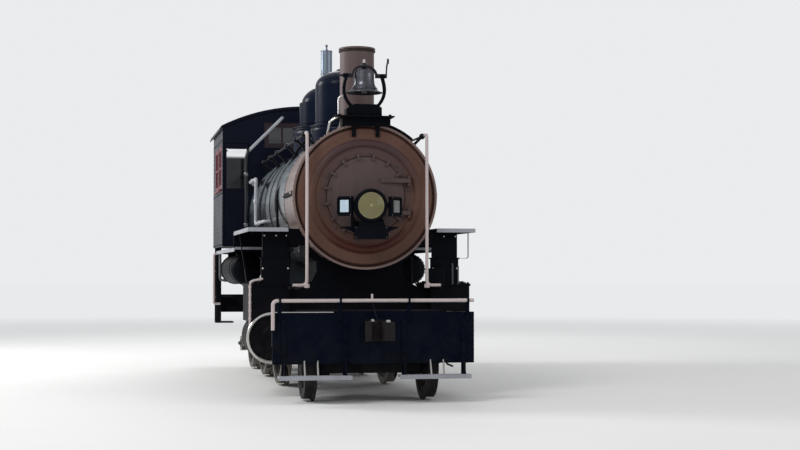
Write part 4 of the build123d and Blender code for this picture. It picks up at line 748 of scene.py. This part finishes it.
# Painted shade: the pale pipe turns near black where it runs down beside the cab.
shade_beside_cab = (lambda place, facing: place.part(0).ramp(-0.955, -0.965) * place.part(1).ramp(1.68, 1.7),
              shade(6, 8, 16))
pipe_grey = dress("whistle_grey", paint("pipe_grey", (176, 178, 184), (140, 142, 148), 0.34, 0.2,
                                        0.4, 0.5, painted_light=shade_beside_cab), "boiler_pipes")
whistle_x = 0.045
chime = [ring(0.084, 0.006, 36) + (whistle_x, steam_y, z) for z in (4.405, 4.52, 4.865)]
chime += [ring(0.068, 0.007, 36) + (whistle_x, steam_y, 4.39),
          nuts(0.026, (whistle_x, steam_y, 4.87), upwards)]
piece("whistle_rings", chime, *whistle_grey)
collar = turned([(0, -0.02), (0.03, -0.02), (0.03, 0.02), (0, 0.02)], 12)
pull = [tube(bent([(whistle_x, 3.724, 4.34), (whistle_x, 3.86, 4.36), (0.32, 5.56, 3.93)], 0.04), 0.008),
        set_on(collar, (whistle_x, steam_y, 4.34), upwards)]
piece("whistle_pull", pull, *rod_steel)

# Bell on its stand: cast bronze, swinging in a black iron yoke over a folded shelf. Mould rings run
# round it, and a pale knob crowns the yoke.
def bronze():
    """Cast bell bronze gone grey-brown, with brighter rubbed bands and dark runs from the crown."""
    material, shader, place = start("bell_bronze")
    runs = place.stretched(16, 16, 1.2).noise(2.0, 4.0, 0.6).ramp(0.4, 0.75)
    blotch = place.noise(7.0, 5.0, 0.65).ramp(0.35, 0.7)
    connect((runs * 0.5 + blotch * 0.4).mix(shade(96, 96, 104), shade(44, 43, 50)), shader, "Base Color")
    connect(blotch * 0.2 + runs * 0.1 + 0.22, shader, "Roughness")
    emboss(place.noise(90.0), shader, 0.3, 0.0008)
    hold(shader, Metallic=0.9)
    return material


bell_bronze = dress("bell_bronze", bronze())
dress("yoke_black", paint("yoke_black", (10, 12, 20), (22, 24, 32), 0.36, 0.3, 0.3, 0.3, 0.5))
mouth = np.array([-0.012, 0.04, 3.8])
rings = [ring(radius, thick, 56) + mouth + (0, 0, height)
         for radius, thick, height in ((0.222, 0.006, 0.006), (0.166, 0.005, 0.05), (0.158, 0.004, 0.064),
                                       (0.127, 0.004, 0.14), (0.122, 0.004, 0.245), (0.104, 0.005, 0.285))]
piece("bell_rings", rings, *bell_bronze, "bell")
finial = turned([(0, 4.176), (0.024, 4.176), (0.019, 4.194), (0.011, 4.2), (0.017, 4.21), (0.012, 4.224),
                 (0, 4.228)], 18) + mouth * (1, 1, 0)
piece("yoke_finial", [finial], cream[0], "yoke_black", "bell")
stand_forms = [nuts(0.02, [(x, y, 3.5) for x in (-0.35, 0.29) for y in (-0.12, 0.11)], upwards),
               nuts(0.018, [(x, -0.045, 3.54) for x in (-0.2, -0.07, 0.06, 0.17)], forwards),
               rivets(0.010, [(x, -0.17, 3.492) for x in np.arange(-0.37, 0.33, 0.1)], forwards)]
piece("stand_bolts", stand_forms, *frame_black)
bell_pipe = [tube(bent([(-0.334, 0.04, 3.495), (-0.334, 0.04, 3.755), (-0.245, 0.04, 3.765)], 0.05), 0.014),
             tube(bent([(-0.355, -0.04, 3.492), (-0.455, -0.02, 3.43), (-0.475, 0.07, 3.27)], 0.03), 0.015)]
piece("bell_pipes", bell_pipe, *bright_steel)

# Handrails: drawn tube, pale on the uprights and black along the boiler, where posts with turned
# knobs carry it.
knob = turned([(0, -0.039), (0.02, -0.0335), (0.033, -0.021), (0.039, 0), (0.033, 0.021), (0.02, 0.0335),
               (0, 0.039)], 18)
rail_x = 0.755
knob_places = both_sides([(rail_x, y, 3.28) for y in (0.15, 0.95, 1.93, 3.1, 4.05, 5.0)])
post_black = dress("frame_black", paint("post_black", (6, 8, 14), (15, 17, 23), 0.4, 0.1, 0.4,
                                        0.12), "handrail_posts")
piece("rail_knobs", [set_on(knob, knob_places, backwards)], *post_black)
foot = turned([(0, -0.03), (0.034, -0.03), (0.034, 0.012), (0.024, 0.02), (0, 0.02)], 16)
piece("rail_feet", [set_on(foot, both_sides([(rail_x, -0.14, 1.39)]), upwards)], *cream)

# Running boards: chequered steel plate on black brackets, with a pale edge strip outside and
# a round-headed rivet at every bracket.
board_tread, board_rivets = [], []
front_height, back_height, board_step = 2.11, 1.89, 2.25
for low, high in ((-1.43, -0.96), (0.96, 1.43)):
    board_tread += lozenges(low, high, 0.19, 2.23, front_height)
    board_tread += lozenges(low, high, 2.28, 5.53, back_height)
for y in (0.26, 1.5, 2.8, 3.9, 5.0):
    z = front_height if y < board_step else back_height
    board_rivets += [(x, y, z - 0.025) for x in (-1.454, 1.454)]
piece("board_tread", board_tread, *frame_black)
piece("board_rivets", [rivets(0.012, board_rivets, outward(board_rivets))], *cream)
strap = bent([(1.405, 0.36, 2.062), (1.405, 0.36, 1.735), (1.275, 0.36, 1.73)], 0.03)
piece("board_strap", [flat_bar(strap, backwards, (0.7, 0, -0.7), 0.04, 0.008)], *cream)
thin_pipe = bent([(-1.4, 2.0, 2.1), (-1.32, 2.0, 1.58), (-1.32, 1.6, 1.3), (-1.32, 1.22, 1.3)], 0.06)
piece("thin_pipe", [tube(thin_pipe, 0.009)], *post_black)

# Cab: riveted sheet steel in black, under a black roof with five raised seams. Maroon sashes with
# bars hold the windows, those on the cab front darkened as painted shade, and the narrow front
# doors have long panes and close on strips behind.
cab_black = dress("cab_black", paint("cab_black", (7, 11, 26), (15, 19, 35), 0.34, 0.3, 0.4, 0.1))
# Painted shade: maroon on the cab front turns near black-purple.
front_painted_shade = (lambda place, facing: place.part(1).ramp(2.17, 2.15), shade(34, 20, 27))
maroon = dress("maroon_paint", paint("maroon_paint", (96, 28, 38), (112, 46, 54), 0.42, 0.2, 0.5,
                                     painted_light=front_painted_shade))


def clear_glass(name, colour, painted_dark_cover, lit_above=None):
    """Window glass seen mostly as what it mirrors: a painted dark reflection in a mostly opaque sheet,
    with wiped smears. Above a height it lets the sky beyond show through."""
    material, shader, place = start(name)
    smears = place.stretched(1, 1, 3).noise(2.2, 4.0, 0.6)
    connect(smears * 0.12 + 0.03, shader, "Roughness")
    cloud = smears.ramp(0.3, 0.8) * 0.1 + painted_dark_cover
    if lit_above:
        cloud = cloud - place.part(2).ramp(lit_above, lit_above + 0.05) * painted_dark_cover
    connect(cloud, shader, "Alpha")
    hold(shader, Base_Color=colour, IOR=1.52)
    return material


# Painted reflection: dark colour with high cover on the windows, and on the door panes below their clear
# band.
dress("window_glass", clear_glass("window_glass", shade(26, 30, 34), 0.72))
door_glass = clear_glass("door_glass", shade(8, 12, 18), 0.9, 3.4), "window_glass"
for side, body in ((-1, "cab_door_left"), (1, "cab_door_right")):
    pane = slab(0.33, 0.66, 0.006, 0.004, 0.001)[..., [0, 2, 1]] + (side * 1.135, 5.568, 3.215)
    piece(body + "_pane", [pane], *door_glass, body)
    rails = [flat_bar([(side * x, 5.551, z) for x in (0.985, 1.285)], upwards, forwards, 0.03, 0.006)
             for z in (2.885, 3.545)]
    handle = turned([(0, -0.002), (0.02, -0.002), (0.012, 0.012), (0.012, 0.03), (0.024, 0.036),
                     (0.024, 0.05), (0, 0.056)], 16)
    piece(body + "_trim", rails, *cab_black, body)
    piece(body + "_knob", [set_on(handle, (side * 0.985, 5.554, 2.7), forwards)], *bright_steel, body)
stops, stop_y = [], 5.5945
for side in both:
    stops += [flat_bar([(side * x, stop_y, z) for z in (2.0, 3.64)], (1, 0, 0), forwards, 0.036, 0.006)
              for x in (0.94, 1.33)]
    stops += [flat_bar([(side * x, stop_y, z) for x in (0.93, 1.34)], upwards, forwards, 0.036, 0.006)
              for z in (2.0, 3.628)]
piece("door_stops", stops, *cab_black)
sashes = []
for side in both:
    x, away = side * 1.342, (side, 0, 0)
    for y0, y1 in ((5.83, 6.29), (6.54, 7.0)):
        upright = [(x, (y0 + y1) / 2, z) for z in (2.968, 3.532)]
        sashes.append(flat_bar(upright, backwards, away, 0.03, 0.012))
        sashes.append(flat_bar([(x, y, 3.25) for y in (y0, y1)], upwards, away, 0.03, 0.012))
    upright = [(side * 0.405, 5.562, z) for z in (3.63, 3.89)]
    sashes.append(flat_bar(upright, (1, 0, 0), forwards, 0.03, 0.008))
piece("window_bars", sashes, *maroon)
cab_side, cab_front = 1.36, 5.55
side_rivets = [(cab_side, y, z) for y in np.arange(5.62, 7.52, 0.075) for z in (2.0, 2.83, 3.68)]
side_rivets += [(cab_side, y, z) for y in (5.58, 6.41, 7.5) for z in np.arange(2.06, 3.66, 0.075)]
side_rivets = both_sides(side_rivets)


def arc_radius(half, rise):
    """The radius of an arc over a chord: (half chord squared + rise squared) / (2 * rise)."""
    return (half ** 2 + rise ** 2) / (2 * rise)


arch_radius = arc_radius(cab_side, 0.32)
front_rivets = [(arch_radius * np.sin(turn), cab_front, 4.13 - arch_radius * (1 - np.cos(turn)))
                for turn in np.radians(np.linspace(-25, 25, 40))]
front_rivets += [(side * x, cab_front, z) for side in both for x in (0.09, 0.72)
                 for z in np.arange(3.57, 3.97, 0.08)]
piece("cab_rivets", [rivets(0.009, side_rivets, outward(side_rivets)),
                     rivets(0.009, front_rivets, forwards)], *cab_black)
roof_radius = arc_radius(1.39, 0.34)
turn = np.radians(np.linspace(-27.2, 27.2, 41))
out = np.stack([np.sin(turn), 0 * turn, np.cos(turn)], -1)
seams = [flat_bar(out * roof_radius + (0, y, 4.23 - roof_radius), backwards, out, 0.05, 0.007)
         for y in (5.55, 6.13, 6.72, 7.3, 7.86)]
piece("roof_seams", seams, *cab_black)
gutter = [tube([(side * 1.392, 5.53, 3.85), (side * 1.392, 7.88, 3.85)], 0.012, 8) for side in both]
piece("roof_gutters", gutter, *cab_black)
hoop = ((7.52, 2.2), (7.6, 2.2), (7.6, 3.3), (7.52, 3.3))
rear_rails = [tube(bent([(side * 1.34, y, z) for y, z in hoop], 0.04), 0.016) for side in both]
piece("rear_grab_rails", rear_rails, *cream)
rests = [slab(0.05, 1.2, 0.03, 0.015, 0.008) + (side * 1.375, 6.41, 2.87) for side in both]
piece("arm_rests", rests, *maroon)

# Inside the cab: the backhead's brass and steel fittings. Two gauges have white dials with plain
# ticks, and the valves have red handwheels.
brass = dress("backhead_metal", metal("backhead_metal", (150, 120, 84), (66, 50, 38), 0.34, 0.6))
dial_white = paint("dial_white", (214, 212, 204), (196, 192, 180), 0.4, 0.1, 0.2), "backhead_metal"
valve_red = paint("valve_red", (112, 28, 24), (84, 26, 22), 0.4, 0.2, 0.4), "backhead_metal"
dials, marks, bezels = [], [], []
dial = turned([(0, -0.002), (0.096, -0.002), (0.096, 0.003), (0, 0.003)], 32)
for x, z in ((-0.18, 3.05), (0.14, 3.12)):
    centre = np.array([x, 6.82, z])
    dials.append(set_on(dial, centre, backwards))
    bezels.append(set_on(ring(0.104, 0.009, 40), centre, backwards))
    for turn in np.radians(np.arange(-45, 226, 22.5)):
        way = np.array([np.cos(turn), 0, np.sin(turn)])
        tick = [centre + way * far + (0, 0.0035, 0) for far in (0.068, 0.086)]
        marks.append(flat_bar(tick, np.cross(way, backwards), backwards, 0.004, 0.001, 0.0003))
    way = np.array([np.cos(2.1), 0, np.sin(2.1)])
    needle = [centre + way * far + (0, 0.006, 0) for far in (-0.02, 0.072)]
    marks.append(flat_bar(needle, np.cross(way, backwards), backwards, 0.006, 0.0015, 0.0004))
piece("gauge_dials", dials, *dial_white)
piece("gauge_marks", marks, post_black[0], "backhead_metal")
piece("gauge_rims", bezels, *brass)
wheels, rim = [], 0.055
for x, z in ((-0.48, 2.86), (0.36, 2.98), (0.52, 2.7), (-0.34, 2.62)):
    centre = np.array([x, 6.87, z])
    wheels.append(set_on(ring(rim, 0.008, 28), centre, backwards))
    wheels += [flat_bar([centre - way, centre + way], np.cross(way / rim, backwards), backwards, 0.012,
                        0.006) for way in rim * np.array([[1, 0, 0], [0, 0, 1]])]
    wheels.append(tube([centre - (0, 0.13, 0), centre + (0, 0.012, 0)], 0.011, 8))
piece("hand_wheels", wheels, *valve_red)
hinges = [slab(0.3, 0.014, 0.035, 0.004, 0.002) + (0.08, 6.79, z) for z in (2.12, 2.36)]
piece("fire_door_straps", hinges, frame_black[0], "backhead_metal")

# Air pump, reservoirs and pipes: cast pump with bolted flanges on the right, two riveted tanks
# under the boards, and small-bore pipe with screwed unions.
pump_x, pump_y = 1.13, 3.4
flange_bolts = [circle_of(10, radius) + (pump_x, pump_y, z) for radius, z in ((0.138, 2.8), (0.14, 2.3))]
pump_forms = [nuts(0.014, place, upwards) for place in flange_bolts]
for radius, thick, heights in ((0.131, 0.007, (2.47, 2.53, 2.59, 2.65, 2.71)),
                               (0.151, 0.008, (1.99, 2.06, 2.13, 2.2, 2.27))):
    pump_forms += [ring(radius, thick, 40) + (pump_x, pump_y, z) for z in heights]
pump_forms.append(nuts(0.045, (pump_x, pump_y, 2.86), upwards))
steam_pipe = [(x, y, 2.62) for x, y in ((pump_x, 3.27), (pump_x, 3.1), (1.05, 3.0), (0.85, 3.0))]
pump_forms.append(tube(bent(steam_pipe, 0.06), 0.02))
piece("pump_fittings", pump_forms, *frame_black)
tank_forms, tank_x, tank_z = [], 1.2, 1.6
way = circle_of(26, 1.0)[:, [0, 2, 1]]
for side in both:
    for y in (3.09, 5.11):
        tank_forms.append(rivets(0.009, way * 0.22 + (side * tank_x, y, tank_z), way))
    tank_forms.append(nuts(0.03, (side * tank_x, 3.0, tank_z), forwards))
    tank_forms.append(nuts(0.03, (side * tank_x, 5.2, tank_z), backwards))
    tank_forms += [nuts(0.016, (side * (tank_x + dx), y, 1.86), (0, 0, -1))
                   for y in (3.38, 4.88) for dx in (-0.09, 0.09)]
piece("tank_fittings", tank_forms, *frame_black)
pipe_x, pipe_y = -1.425, 5.1
ribbed = bent([(pipe_x, pipe_y, 1.85), (pipe_x, pipe_y, 1.44), (-1.32, pipe_y, 1.42)], 0.03)
rib_places = [(pipe_x, pipe_y, z) for z in np.arange(1.49, 1.85, 0.018)]
ribs = set_on(ring(0.017, 0.007, 16, 6), rib_places, upwards)
piece("ribbed_pipe", [tube(ribbed, 0.018), ribs], *grey_iron)
union = turned([(0, -0.03), (0.032, -0.03), (0.038, -0.018), (0.038, 0.018), (0.032, 0.03), (0, 0.03)], 6)
unions = [set_on(union, place, way)
          for place, way in (((-0.97, 4.6, 2.96), backwards), ((-0.97, 4.06, 2.62), upwards),
                             ((-0.97, 3.5, 2.28), backwards), ((-1.01, 5.21, 3.1), upwards),
                             ((-1.01, 5.21, 2.3), upwards))]
piece("pipe_unions", unions, *pipe_grey)
clips = [set_on(slab(0.07, 0.05, 0.09, 0.01, 0.003), (-0.885, y, 2.28), (-1, 0, 0)) for y in (3.3, 3.8)]
piece("pipe_clips", clips, *frame_black)

# Rear beam and steps: a steel box beam with riveted edges, and open steps with tread plates that
# hang from the cab floor on two straps each.
rear_rivets = [(x, 7.48, z) for x in np.arange(-1.2, 1.21, 0.1) for z in (0.92, 1.14) if abs(x) > 0.17]
step_tread = [form for side in both for z in (0.725, 1.155, 1.585)
              for form in lozenges(*sorted((side * 1.05, side * 1.33)), 7.17, 7.43, z, 0.05)]
piece("rear_rivets", [rivets(0.013, rear_rivets, backwards)], *frame_black)
piece("step_treads", step_tread, *frame_black)
